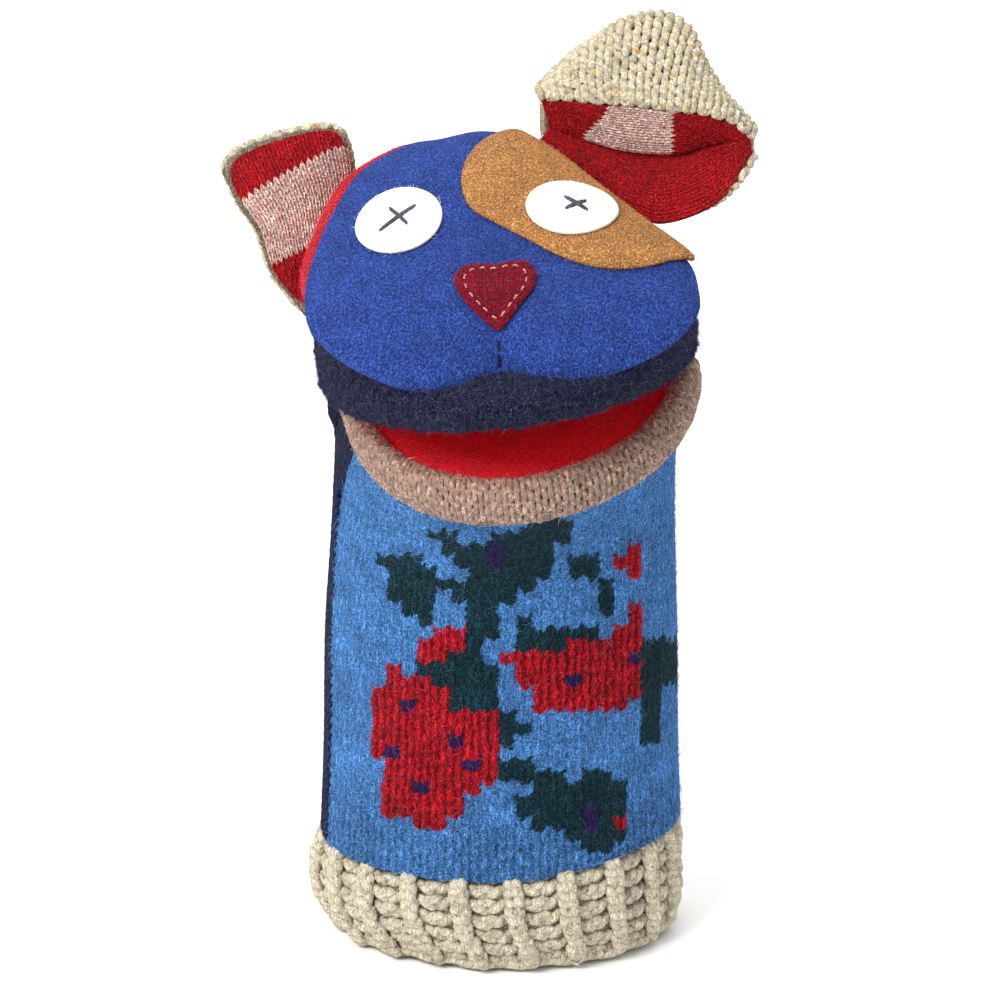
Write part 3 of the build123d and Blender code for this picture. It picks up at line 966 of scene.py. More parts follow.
def snout_edge(s, inset, height):
    """Upright places on the upper jaw's round edge."""
    x = -(SNOUT_HALF_WIDTH - inset) * np.cos(math.pi * s)
    y = HINGE[1] - (SNOUT_DEPTH - inset) * np.sin(math.pi * s)
    z = HINGE[2] + HINGE_GAP + (HINGE[1] - y) * PALATE_TILT + height
    return np.stack([x, y, z], axis=-1)


def make_chin_band(sizes, tints, wools):
    profile = smooth_line([(1.6, -11.0), (0.2, -8.6), (-0.6, -5.6), (-0.5, -2.4), (0.5, 0.2), (2.4, 1.5),
                           (4.4, 0.9), (5.4, -1.2)], 26)
    s = np.linspace(0.006, 0.994, 240)
    grid = leaned(jaw_edge(s[:, None], profile[:, 0][None, :], profile[:, 1][None, :]))
    looped_cloth("chin_band", grid, (44, 5, 0.66, 0.35, 1.08), (wools["lip_yarn"], wools["lip_ground"]),
                 "lower_jaw", 1.0, 1, 4)


def mouth_slab(edge, inset, across, down, low, height, stitch):
    """A D-shaped grid inside a jaw's edge, with stitch columns running from side to side."""
    depth = np.linspace(0.012, 0.985, down)[None, :]
    u = np.linspace(-1, 1, across)[:, None]
    rim = edge(np.arcsin(depth) / math.pi, inset, 0.0)
    far = edge(1 - np.arcsin(depth) / math.pi, inset, 0.0)
    x = rim[..., 0] + (far[..., 0] - rim[..., 0]) * (u + 1) / 2
    y = rim[..., 1] + 0 * u
    bowl = low * (1 - u ** 4) * (1 - depth ** 4)
    z = rim[..., 2] + height + bowl
    grid = leaned(np.stack([x, y, z], axis=-1))[:, ::-1]
    stitches = np.stack([(y + 0.0035 * x * x) / stitch, x / stitch], axis=-1)[:, ::-1]
    return grid, stitches


def make_mouth(sizes, tints, wools):
    """Both red linings, back to back round the hinge line, and the boards that stiffen them."""
    stitch = sizes.fine_stitch / MM
    jobs = (
        ("lower_mouth_lining", "lower_jaw", jaw_edge, 4.6, -2.0, -0.8, 1.6, wools["mouth"], "red_knit"),
        ("upper_mouth_lining", "head", snout_edge, 3.4, 1.2, 0.2, 1.6, wools["mouth"], "red_knit"),
        ("lower_jaw_board", "lower_jaw", jaw_edge, 5.2, 0.0, -5.2, 1.6, wools["board"], "stiffener"),
        ("upper_jaw_board", "head", snout_edge, 5.0, 0.0, 4.4, 1.6, wools["board"], "stiffener"),
    )
    nodes = ("lower_mouth_lining", "upper_mouth_lining", "lower_mouth_board", "upper_mouth_board")
    for (name, body, edge, inset, low, height, thick, material, slot), node in zip(jobs, nodes):
        fine = slot == "red_knit"
        grid, stitches = mouth_slab(edge, inset, 201 if fine else 61, 121 if fine else 41, low, height,
                                    stitch)
        if body == "head":
            grid, stitches = grid[::-1], stitches[::-1]
        relief = 0.22 * knit_relief(stitches[..., 0], stitches[..., 1]) if fine else np.zeros(grid.shape[:2])
        places, faces = shell(grid, relief, thick, 4)
        piece = new_piece(name if not fine else name + "_knit", places, faces, material, body, (node,),
                          stitches=both_sides(stitches, 4))
        if fine:
            declare_sheet(grid)


# ---------------------------------------------------------------- head


def anticlockwise(points):
    points = np.asarray(points, float)
    x, y = points[:, 0], points[:, 1]
    area = (x * np.roll(y, -1) - np.roll(x, -1) * y).sum()
    return points if area > 0 else points[::-1]


FACE_OUTLINE = (
    (-13, 7.5), (-28, 9), (-45, 20), (-56, 35), (-57.5, 50), (-53, 67), (-46.5, 82), (-38.5, 95),
    (-25, 103.5),
    (-13, 105), (-1, 106.5), (10, 103), (21, 93), (34.5, 77), (47, 62.5), (58.5, 48.5), (61.5, 37), (60, 26),
    (49, 14.5), (28, 6), (12, 6.5), (0, 10.5),
)


def face_outline(count):
    return smooth_line(anticlockwise(FACE_OUTLINE), count, closed=True)


FACE_TABLE = face_outline(720)
FACE_ANGLE = np.arctan2(FACE_TABLE[:, 1] - FACE_CENTRE[1], FACE_TABLE[:, 0] - FACE_CENTRE[0])
FACE_REACH = np.hypot(FACE_TABLE[:, 1] - FACE_CENTRE[1], FACE_TABLE[:, 0] - FACE_CENTRE[0])
FACE_ORDER = np.argsort(FACE_ANGLE)


def face_height(points):
    """How far the face's skin lies above its flat plane, below zero towards the rolled rim."""
    u, s = points[..., 0] - FACE_CENTRE[0], points[..., 1] - FACE_CENTRE[1]
    reach = np.interp(np.arctan2(s, u), FACE_ANGLE[FACE_ORDER], FACE_REACH[FACE_ORDER], period=2 * math.pi)
    share = np.hypot(u, s) / reach
    crease = 1.3 * np.exp(-(points[..., 0] / 2.2) ** 2) * smoothstep(22, 12, points[..., 1])
    waves = 0.5 * np.sin(points[..., 0] / 11.0) * np.cos(points[..., 1] / 13.0)
    return -FACE_ROLL * share ** FACE_ROLL_POWER - crease + waves


def on_face(points, lift):
    """Leaned places this far above the face's skin."""
    points = np.asarray(points, float)
    height = face_height(points) + lift
    step = 0.05
    slope_u = (face_height(points + (step, 0)) - face_height(points - (step, 0))) / (2 * step)
    slope_s = (face_height(points + (0, step)) - face_height(points - (0, step))) / (2 * step)
    u = points[..., 0] - np.clip(slope_u, -1.5, 1.5) * lift
    s = points[..., 1] - np.clip(slope_s, -1.5, 1.5) * lift
    cos, sin = math.cos(FACE_SLOPE), math.sin(FACE_SLOPE)
    return leaned(np.stack([
        FACE_FOOT[0] + u,
        FACE_FOOT[1] + s * cos - height * sin,
        FACE_FOOT[2] + s * sin + height * cos,
    ], axis=-1))


def felt(name, outline, centre, lift, thick, rings, count, material, node, waves=0.0):
    """A flat-cut piece of felt laid on the face, its cut edge softly rounded."""
    line = smooth_line(anticlockwise(outline), count, closed=True)
    centre = np.asarray(centre, float)
    stack = []
    for share in np.linspace(0, 1, rings) ** 0.85:
        spot = centre + (line - centre) * share
        drop = thick * 0.22 * smoothstep(1 - 1.6 / 14, 1.0, share)
        stack.append(on_face(spot, lift + thick - drop))
    reach = np.hypot(*(line - centre).T)[:, None]
    out = (line - centre) / reach
    stack.append(on_face(line + out * thick * 0.20, lift + thick * 0.5))
    for share in (1.0, 0.7, 0.35, 0.0):
        spot = centre + (line - centre) * share
        stack.append(on_face(spot, lift))
    if waves:
        stack = [ring + waves * ripple(ring, 2.4, 31)[:, None] * np.array([0, -0.5, 0.85]) for ring in stack]
    places, faces = bun(stack)
    piece = new_piece(name, places, faces, material, "head", (node,))
    return piece


def thread_path(points, lift):
    """A stitch from its first place to its last, sinking into the cloth at both ends."""
    line = smooth_line(points, 9)
    share = np.linspace(0, 1, 9)
    rise = np.sin(math.pi * share) ** 0.6
    return on_face(line, 0.0) + (on_face(line, 1.0) - on_face(line, 0.0)) * (lift - 0.5 + 0.8 * rise)[:, None]


def threads(name, stitches, lift, radius, material, node):
    paths = [thread_path(stitch, lift) for stitch in stitches]
    normals = [np.tile([0.0, -0.5, 0.86], (9, 1))] * len(paths)
    places, faces, uvs = tubes(paths, normals, [(radius, False)] * len(paths), 6)
    return new_piece(name, places, faces, material, "head", (node,), uvs=uvs)


def running_stitch(points, closed, count, share, seed):
    """Dashes of a running stitch along a line, a little uneven."""
    rng = np.random.default_rng(seed)
    line = smooth_line(points, 40 * count, closed)
    dashes = []
    for k in range(count):
        first = int(40 * (k + rng.uniform(0.05, 0.2)))
        last = int(first + 40 * share * rng.uniform(0.85, 1.1))
        dashes.append([line[first], line[(first + last) // 2], line[min(last, len(line) - 1)]])
    return dashes


NOSE_OUTLINE = (
    (0.8, 22.4), (-3.4, 25.8), (-7.2, 30.6), (-10.2, 36), (-10.8, 41), (-8.2, 44.2), (-3.6, 44.9),
    (1.4, 44.3),
    (6.4, 45.1), (10.8, 44.2), (13, 40.4), (12, 35.2), (8.4, 30.4), (4.8, 25.8),
)
PATCH_OUTLINE = (
    (9.5, 103.4), (3, 99.5), (-2, 94), (-5.4, 87), (-7, 77.5), (-4.5, 67.5), (3, 60.5), (12, 53.3),
    (20.5, 46.5),
    (29.5, 41.7), (38.5, 40), (47, 41.4), (53, 44.4), (57.5, 46.8), (59.6, 48.4), (47.2, 62.5), (34.7, 77.1),
    (21, 93.2), (15, 99),
)


LEFT_EYE = (-26.9, 66.8)
RIGHT_EYE = (25.0, 63.6)


def make_felt(sizes, tints, wools):
    """Face, eye patch, eyes and nose, with their threads."""
    thick = sizes.felt_thick / MM
    felt("face_felt", FACE_OUTLINE, FACE_CENTRE, -1.7, 1.7, 70, 420, wools["face"],
         "face_panel",
         0.06)
    felt("eye_patch_felt", PATCH_OUTLINE, (22, 72), 0.15, thick, 44, 260, wools["patch"],
         "eye_patch",
         0.05)
    turn = np.linspace(0, 2 * math.pi, 24, endpoint=False)
    for name, centre, lift, tops, base in (
            ("left_eye", LEFT_EYE, 0.15, (13.0, 12.9, 0.0), "face_felt"),
            ("right_eye", RIGHT_EYE, 0.15 + thick, (13.2, 10.6, -0.22), "eye_patch_felt")):
        wide, tall = tops[0] * np.cos(turn), tops[1] * np.sin(turn)
        tip = tops[2]
        disc = np.stack([centre[0] + wide * math.cos(tip) - tall * math.sin(tip),
                         centre[1] + wide * math.sin(tip) + tall * math.cos(tip)], axis=-1)
        felt(name + "_felt", disc, centre, lift, thick, 20, 120, wools["white"], name + "_disc",
             0.03)
    felt("nose_felt", NOSE_OUTLINE, (1, 36), 0.15, thick, 22, 160, wools["nose"], "nose",
         0.05)
    top = 0.15 + thick
    crosses = (
        ("left_eye_cross", LEFT_EYE, top, (((-6.4, -4.4), (6.2, 4.4)), ((-2.8, 5.2), (3.0, -3.6))),
         "left_eye_stitches"),
        ("right_eye_cross", RIGHT_EYE, top + thick, (((-2.6, 3.8), (4.9, -2.8)), ((-2.2, -1.7), (4.4, 1.9))),
         "right_eye_stitches"),
    )
    for name, centre, lift, arms, node in crosses:
        doubled = []
        for first, last in arms:
            for shift in (-0.32, 0.32):
                doubled.append([(centre[0] + first[0], centre[1] + first[1] + shift),
                                (centre[0] + last[0], centre[1] + last[1] + shift)])
        threads(name, doubled, lift, 0.42, wools["violet_yarn"], node)
    inset = [(1 + (u - 1) * 0.78, 36 + (s - 36) * 0.78) for u, s in NOSE_OUTLINE]
    threads("nose_running_stitch", running_stitch(anticlockwise(inset), True, 17, 0.55, 41), top, 0.27,
            wools["thread"], "nose_stitching")
    edge = [(10.5, 96), (5.4, 93), (1.4, 88.6), (-0.8, 82.5)]
    threads("patch_running_stitch", running_stitch(edge, False, 6, 0.7, 42), top, 0.25, wools["thread"],
            "patch_stitching")
    threads("muzzle_line", running_stitch([(0.6, 20), (0, 15), (0.2, 9.5)], False, 3, 0.8, 43), 0.3, 0.4,
            wools["navy_yarn"], "muzzle_stitch")


def face_rim(share, inset, drop):
    """Places just inside the face felt's rim; share runs 0 to 1 round it from the first outline place."""
    line = face_outline(720)
    index = np.round(share * 720).astype(int) % 720
    spot = line[index]
    centre = np.array(FACE_CENTRE)
    out = (spot - centre) / np.hypot(*(spot - centre).T)[:, None]
    return on_face(spot - out * inset, -drop)


def rim_share(u, s):
    """Where on the face's rim, from 0 to 1, its place nearest to (u, s) is."""
    line = face_outline(720)
    return np.argmin(np.hypot(line[:, 0] - u, line[:, 1] - s)) / 720.0


def skirt(start, end, lean_start, lean_end, count):
    """A curved strip between two lines, leaving each with its own lead."""
    t = np.linspace(0, 1, count)[None, :, None]
    a, b = start[:, None], end[:, None]
    c = a + np.broadcast_to(lean_start, start.shape)[:, None]
    d = b + np.broadcast_to(lean_end, end.shape)[:, None]
    return a * (1 - t) ** 3 + 3 * c * t * (1 - t) ** 2 + 3 * d * t ** 2 * (1 - t) + b * t ** 3


def outward(points, y_centre):
    out = points - np.array([HINGE[0], y_centre, 0])
    out[:, 2] = 0
    return out / np.linalg.norm(out, axis=1, keepdims=True)


def make_lip_band(sizes, tints, wools):
    """The thick navy upper lip from the face's rim down to the mouth's edge."""
    first = rim_share(-57.5, 44)
    last = rim_share(63, 44)
    if last < first:
        last += 1.0
    s = np.linspace(0, 1, 301)
    ease = s + 0.03 * np.sin(2 * math.pi * s)
    upper = face_rim((first + (last - first) * ease) % 1.0, 2.4, 2.2)
    lower = leaned(snout_edge(0.012 + 0.976 * s, 0.8, 1.8))
    out = outward(lower, -30.0)
    round_way = np.sin(math.pi * s)[:, None]
    down = np.array([0, 0, -1.0])
    grid = skirt(upper, lower, out * (2.5 + 6.5 * round_way ** 2) + down * 1.0,
                 out * (0.5 + 6.5 * round_way ** 2) - down * (3.0 + 3.5 * round_way), 90)
    under = leaned(snout_edge(0.012 + 0.976 * s, 4.6, 0.2))
    hem = skirt(lower, under, -out * 0.5 + down * 1.8, down * 1.2, 14)
    grid = np.concatenate([grid, hem[:, 1:]], axis=1)[:, ::-1]
    grid = grid + normals_of(grid) * (0.5 * ripple(grid, 20.0, 51))[..., None]
    relief = 0.55 * ripple(grid, 3.6, 52) + 0.45 * ripple(grid, 2.0, 53)
    places, faces = shell(grid, relief, 1.8, 3)
    piece = new_piece("lip_band_felt", places, faces, wools["lip"], "head", ("lip_band",))
    declare_sheet(grid[::2])
    return piece


def make_head_back(sizes, tints, wools):
    """The red back of the head, from the face's upper rim to the neck, over both sides."""
    first = rim_share(61.5, 37)
    last = rim_share(-57, 38)
    if last < first:
        last += 1.0
    s = np.linspace(0, 1, 281)
    upper = face_rim((first + (last - first) * s) % 1.0, 0.6, 2.4)
    angle = -0.24 + (math.pi + 0.48) * s
    x = 57.0 * np.cos(angle)
    y = HINGE[1] + NAPE_DEPTH * np.sin(angle)
    z = HINGE[2] + HINGE_GAP + (HINGE[1] - y) * PALATE_TILT
    lower = leaned(np.stack([x, y, z], axis=-1))
    out = outward((upper + lower) / 2, 0.0)
    back = np.clip(np.sin(angle), 0, 1)[:, None]
    up = np.array([0, 0, 1.0])
    drop = (upper[:, 2] - lower[:, 2])[:, None]
    left = smoothstep(0.45, 0.75, s)[:, None]
    full = (smoothstep(0.02, 0.16, s) * smoothstep(0.98, 0.86, s))[:, None]
    grid = skirt(upper, lower,
                 out * full * (6.0 + 12.0 * back ** 2 + 6.0 * left) + up * (0.6 + 6.0 * left * back),
                 out * full * (2.0 + 7.0 * back) + up * drop * 0.42, 111)[:, ::-1]
    wave = ripple(grid, 40.0, 61) * 0.6
    grid = grid + normals_of(grid) * wave[..., None]
    travel = s[:, None] * 62
    rows = np.linspace(0, 1, 111)[None, :] * 34
    stitches = np.stack([travel + 0 * rows, rows + 0 * travel], axis=-1)
    relief = 0.22 * knit_relief(stitches[..., 0], stitches[..., 1]) + 0.10 * ripple(grid, 2.2, 62)
    places, faces = shell(grid, relief, 1.8, 5)
    piece = new_piece("head_back_knit", places, faces, wools["head_back"], "head",
                      ("head_back_panel",), stitches=both_sides(stitches, 5))
    declare_sheet(grid[::2, ::2])
    return piece


def make_padding(sizes, tints, wools):
    """The wadding that keeps the forehead round, above the fingers."""
    turn = np.linspace(0, 2 * math.pi, 64, endpoint=False)
    rings = []
    for t in np.linspace(0, 1, 26):
        level = math.cos(math.pi * t)
        width = max(1e-3, 1 - level ** 2) ** 0.42
        x = 40 * width * np.cos(turn)
        y = -14 + 24 * width * np.sin(turn)
        z = 226 + 8.5 * level + 0.30 * (y + 14) + 0 * turn
        rings.append(np.stack([x, y, z], axis=-1))
    rings = [leaned(ring + 0.7 * ripple(ring, 16.0, 71)[:, None]) for ring in rings]
    places, faces = bun(rings)
    piece = new_piece("forehead_pad", places, faces, wools["stuffing"], "head",
                      ("forehead_padding",))
    return piece


# ---------------------------------------------------------------- ears

# each row runs from the ear's left end to its right end, as (across, up, towards the viewer)
RIGHT_EAR_OUTER = (
    ((12, 255.6, 90), (22.6, 254.9, 94), (33, 253.7, 96), (42, 253, 97), (52, 251.6, 97), (62, 250.8, 95),
     (71, 248.4, 92), (77.4, 243.4, 88)),
    ((11, 257.2, 88.5), (19, 261, 92), (30, 262, 94.5), (41, 261.5, 95.5), (51.5, 260, 95), (61, 257.5, 93),
     (69.5, 252.5, 90), (78, 244.2, 87.5)),
    ((12, 258.4, 87), (19, 265, 88.5), (28.5, 271.5, 90), (38.5, 276, 90.5), (49, 276.5, 90.5),
     (58, 270.5, 89.5),
     (65.8, 258, 88.5), (78.2, 245, 86.5)),
    ((12.5, 258.4, 85), (19.8, 266, 84.5), (28.5, 272.5, 84), (38, 278.6, 84), (49, 280.8, 84),
     (57.5, 276.5, 84),
     (64.6, 262, 84.5), (78, 245.4, 85)),
    ((13, 256, 83), (20, 263, 79), (29, 270, 77), (38, 274.5, 76), (48.5, 276, 76), (57, 271, 77),
     (65, 257.5, 80), (78, 244.5, 83.5)),
    ((13, 251, 80), (21, 254, 74), (30, 256, 71), (39, 257.5, 69.5), (48, 257, 69.5), (57, 253, 71),
     (67, 248, 75.5), (77.6, 243, 81)),
    ((13, 246, 79), (22, 242, 73), (31, 238.5, 69), (40, 235, 67.5), (48, 233, 67.5), (57, 234, 69.5),
     (67, 238, 74.5), (77.3, 241, 80)),
    ((13.4, 244.5, 79), (23.4, 239, 77), (34, 233, 76), (42, 228.6, 76), (49, 225.6, 76), (58.5, 227.5, 77),
     (68, 232, 80), (77.6, 239.2, 84)),
    ((12.4, 243.4, 80.5), (22.6, 235.8, 82.5), (33.4, 229, 85), (41.2, 223.2, 87), (49, 219.4, 88.5),
     (61, 221, 89.5), (71, 227, 90), (78.4, 238.2, 87)),
)
RIGHT_EAR_LINING = (
    ((12.6, 254.8, 89.5), (22.6, 253.7, 93.5), (33, 252.4, 95.5), (42, 251.7, 96.5), (52, 250.3, 96.5),
     (62, 249.6, 94.5), (70.5, 247.2, 91.5), (76, 243, 88)),
    ((13.8, 251, 87), (23, 249.3, 89.5), (34, 247, 90), (43, 246, 90.5), (52, 245.4, 90.5), (62, 245.8, 90),
     (69.5, 245, 89), (76.2, 242.6, 87.6)),
    ((15, 247.2, 84.5), (23.6, 244.6, 84.5), (35, 241.2, 84), (45, 239.6, 84), (55, 239.6, 84),
     (63, 241.4, 84.5),
     (70, 242.6, 86), (76.4, 242, 87.2)),
    ((15, 246.2, 83.6), (23.6, 243, 82), (35, 239, 80.8), (45, 237.4, 80.4), (55, 237.6, 80.6), (63, 240, 82),
     (70, 241.6, 84.6), (76.5, 241.7, 87)),
    ((14.4, 245, 85), (23.4, 240, 86), (34.5, 235, 87), (43, 231, 87.5), (51.5, 230.5, 88), (60.5, 234, 88),
     (69, 238.4, 88), (76.7, 241.2, 87.4)),
    ((11, 241, 86), (21, 233, 89.5), (32, 226.4, 92), (40, 220.6, 93.5), (48, 216.8, 94), (60, 219.6, 93),
     (69.5, 226, 91.5), (77, 238.6, 88.4)),
)

# each row runs from the ear's left edge to its right edge, as (across, up, depth behind the hinge's middle)
LEFT_EAR_LINING = (
    ((-84.4, 233, 12.4), (-82, 237.6, 11.8), (-75.5, 241.2, 11.2), (-67.6, 243.6, 10.8), (-58.9, 245.6, 11),
     (-52, 246, 11.6), (-47.6, 243.8, 12.6)),
    ((-82.4, 227.6, 12), (-78.5, 232, 10.2), (-70.6, 236.4, 9.2), (-62.8, 239.8, 9), (-55.6, 242.2, 9.4),
     (-51, 243.2, 10.6), (-47.2, 241.8, 12.4)),
    ((-79.8, 222.6, 12), (-74.5, 226.4, 10.2), (-66.3, 231, 9.2), (-58.6, 235.2, 9.2), (-52.6, 238.4, 10),
     (-49, 239.8, 11.4), (-46.4, 239.8, 13)),
    ((-74.6, 215, 11.6), (-70, 217.6, 10.6), (-63.5, 221.4, 10.6), (-57, 225, 11.2), (-51.6, 228.4, 12.4),
     (-48, 230.6, 13.4), (-45.6, 232.4, 14.4)),
    ((-70.9, 203.6, 12), (-67, 205.4, 10.8), (-62, 207.8, 10.4), (-57, 210.6, 11), (-52.4, 213.6, 12.4),
     (-49, 216.4, 13.6), (-46.6, 219, 14.6)),
    ((-66.4, 197.2, 12.4), (-63, 198.8, 11.4), (-59.4, 200.8, 11.2), (-55.8, 203.2, 11.8), (-52, 206, 12.8),
     (-49.4, 208.4, 13.8), (-47.4, 211, 14.6)),
    ((-60.2, 190.6, 13), (-58, 191.6, 12.6), (-55.8, 193, 12.6), (-53.4, 194.8, 13), (-51, 197, 13.6),
     (-49.4, 199, 14.2), (-48, 201.4, 14.8)),
)


LEFT_EAR_ROWS = (25.0, 22.0, 19.0, 14.0, 9.0, 6.0, 1.0)
RIGHT_EAR_ROWS = (20.0, 16.0, 12.0, 10.0, 6.0, 0.0)
EAR_BAND = (9, 19)


def from_front(points):
    """Places given as (across, up in the tilted view, depth Y)."""
    points = np.asarray(points, float)
    rise = (points[..., 1] - points[..., 2] * math.sin(VIEW_TILT)) / math.cos(VIEW_TILT)
    return np.stack([points[..., 0], points[..., 2], rise], axis=-1)


def grow_rows(rows, edge, depth):
    """The same net of rows a little larger round its outline, with its middle pushed back by depth."""
    table = np.asarray(rows, float)
    centre = table.reshape(-1, 3).mean(axis=0)
    big = table.copy()
    out = table[..., :2] - centre[:2]
    out /= np.linalg.norm(out, axis=-1, keepdims=True)
    on_edge = np.zeros(table.shape[:2])
    on_edge[0], on_edge[-1], on_edge[:, 0], on_edge[:, -1] = 1, 1, 1, 1
    big[..., :2] += out * (edge * on_edge)[..., None]
    big[..., 2] += depth * (1 - on_edge) + 0.8 * on_edge
    return big


def knit_cloth(name, grid, wale, row, thick, relief, material, body, node):
    """Fine knitted cloth over a grid, its stitches placed by their wale and row numbers."""
    height = relief * knit_relief(wale, row) + 0.05 * ripple(grid, 1.8, 77)
    places, faces = shell(grid, height, thick, 5)
    stitches = both_sides(np.stack([wale, row], axis=-1), 5)
    return new_piece(name, places, faces, material, body, (node,), stitches=stitches)


def make_left_ear(sizes, tints, wools):
    """A flat flap: striped lining in front, chunky tweed behind it, showing as a rim."""
    grid, rows = net(LEFT_EAR_LINING, 151, 191, LEFT_EAR_ROWS)
    grid, rows = from_front(grid)[:, ::-1], rows[::-1]
    wale = np.linspace(0, 17, 151)[:, None] + np.zeros((1, 191))
    lining = knit_cloth("left_ear_lining_knit", grid, wale, rows[None, :] + 0 * wale, 1.0, 0.42,
                        wools["left_lining"], "left_ear", "left_ear_lining")
    declare_sheet(grid)
    rows = grow_rows(LEFT_EAR_LINING, 0.7, 4.2)
    back = from_front(net(rows, 81, 101))[::-1, ::-1]
    looped_cloth("left_ear_outer", back, (9, 16, 0.66, 0.35, 1.3), (wools["tweed"], wools["tweed_ground"]),
                 "left_ear", 0.6, 2, 21)


def make_right_ear(sizes, tints, wools):
    """A cupped ear: its striped lining opens to the front under a round crown of chunky tweed."""
    grid, rows = net(RIGHT_EAR_LINING, 241, 151, RIGHT_EAR_ROWS)
    grid, rows = from_view(grid)[:, ::-1], rows[::-1]
    slant = smoothstep(11, 20, rows)[None, :] * 7.5
    across = (grid[..., 0] - 24.5 - slant) / np.where(grid[..., 0] < 24.5 + slant, 2.6, (27.5 - slant) / 10)
    row = EAR_BAND[0] + across + np.where(rows < 11.0, 100, 0)[None, :]
    lining = knit_cloth("right_ear_lining_knit", grid, rows[None, :] + 0 * row, row, 1.0, 0.42,
                        wools["right_lining"], "right_ear", "right_ear_lining")
    declare_sheet(grid)
    outer = from_view(net(RIGHT_EAR_OUTER, 111, 191))
    looped_cloth("right_ear_outer", outer, (15, 31, 0.68, 0.45, 1.34),
                 (wools["tweed"], wools["tweed_ground"]),
                 "right_ear", 0.9, 2, 22)


# ---------------------------------------------------------------- stray fibres

FUZZ = (
    # name, body, slot, count, length share, lift, thickness, sources as (piece, share, colour name or None)
    ("face_fuzz", "head", "royal_felt", 11000, 0.42, 0.35, 0.045, (("face_felt", 1.0, "face"),)),
    ("lip_fuzz", "head", "navy_felt", 13000, 0.75, 0.85, 0.05, (("lip_band_felt", 1.0, "lip"),)),
    ("patch_fuzz", "head", "tan_felt", 5000, 0.42, 0.45, 0.045, (("eye_patch_felt", 1.0, "patch"),)),
    ("nose_fuzz", "head", "crimson_felt", 700, 0.6, 0.35, 0.045, (("nose_felt", 1.0, "nose"),)),
    ("eye_fuzz", "head", "white_felt", 700, 0.6, 0.30, 0.045,
     (("left_eye_felt", 0.5, "white"), ("right_eye_felt", 0.5, "white"))),
    ("head_back_fuzz", "head", "red_knit", 3500, 0.9, 0.40, 0.05, (("head_back_knit", 1.0, "mouth"),)),
    ("mouth_fuzz", "lower_jaw", "red_knit", 3000, 0.8, 0.25, 0.045,
     (("lower_mouth_lining_knit", 1.0, "mouth"),)),
    ("chin_fuzz", "lower_jaw", "tweed_knit", 3200, 0.9, 0.50, 0.05, (("chin_band_yarn", 1.0, "tweed"),)),
    ("cuff_fuzz", "sleeve", "cream_knit", 9000, 1.1, 0.50, 0.045, (("ribbed_cuff_yarn", 1.0, "cream"),)),
    ("left_ear_fuzz", "left_ear", "tweed_knit", 2600, 0.8, 0.45, 0.045,
     (("left_ear_outer_yarn", 0.45, "tweed"), ("left_ear_lining_knit", 0.55, "ear_red"))),
    ("right_ear_fuzz", "right_ear", "tweed_knit", 4600, 0.8, 0.45, 0.045,
     (("right_ear_outer_yarn", 0.65, "tweed"), ("right_ear_lining_knit", 0.35, "ear_red"))),
)


def make_fuzz(sizes, tints, wools):
    length = sizes.fibre_length / MM
    parts = bpy.data.objects
    front = fibre_piece("front_fuzz", [(parts["front_panel_knit"], 1.0, None)], 16000, length * 0.95,
                        0.50, 0.05,
                        None, wools["fibre"], 90)
    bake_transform(front)
    back = fibre_piece("back_fuzz", [(parts["back_panel_knit"], 1.0, tints.back)], 3500, length, 0.42, 0.055,
                       None, wools["fibre"], 91)
    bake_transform(back)
    for k, (name, body, slot, count, share, lift, thick, sources) in enumerate(FUZZ):
        picked = [(parts[piece], part, tuple(getattr(tints, tint))) for piece, part, tint in sources]
        fibre_piece(name, picked, count, length * share, lift, thick, body, wools["fibre"], 92 + k)


# ---------------------------------------------------------------- stage


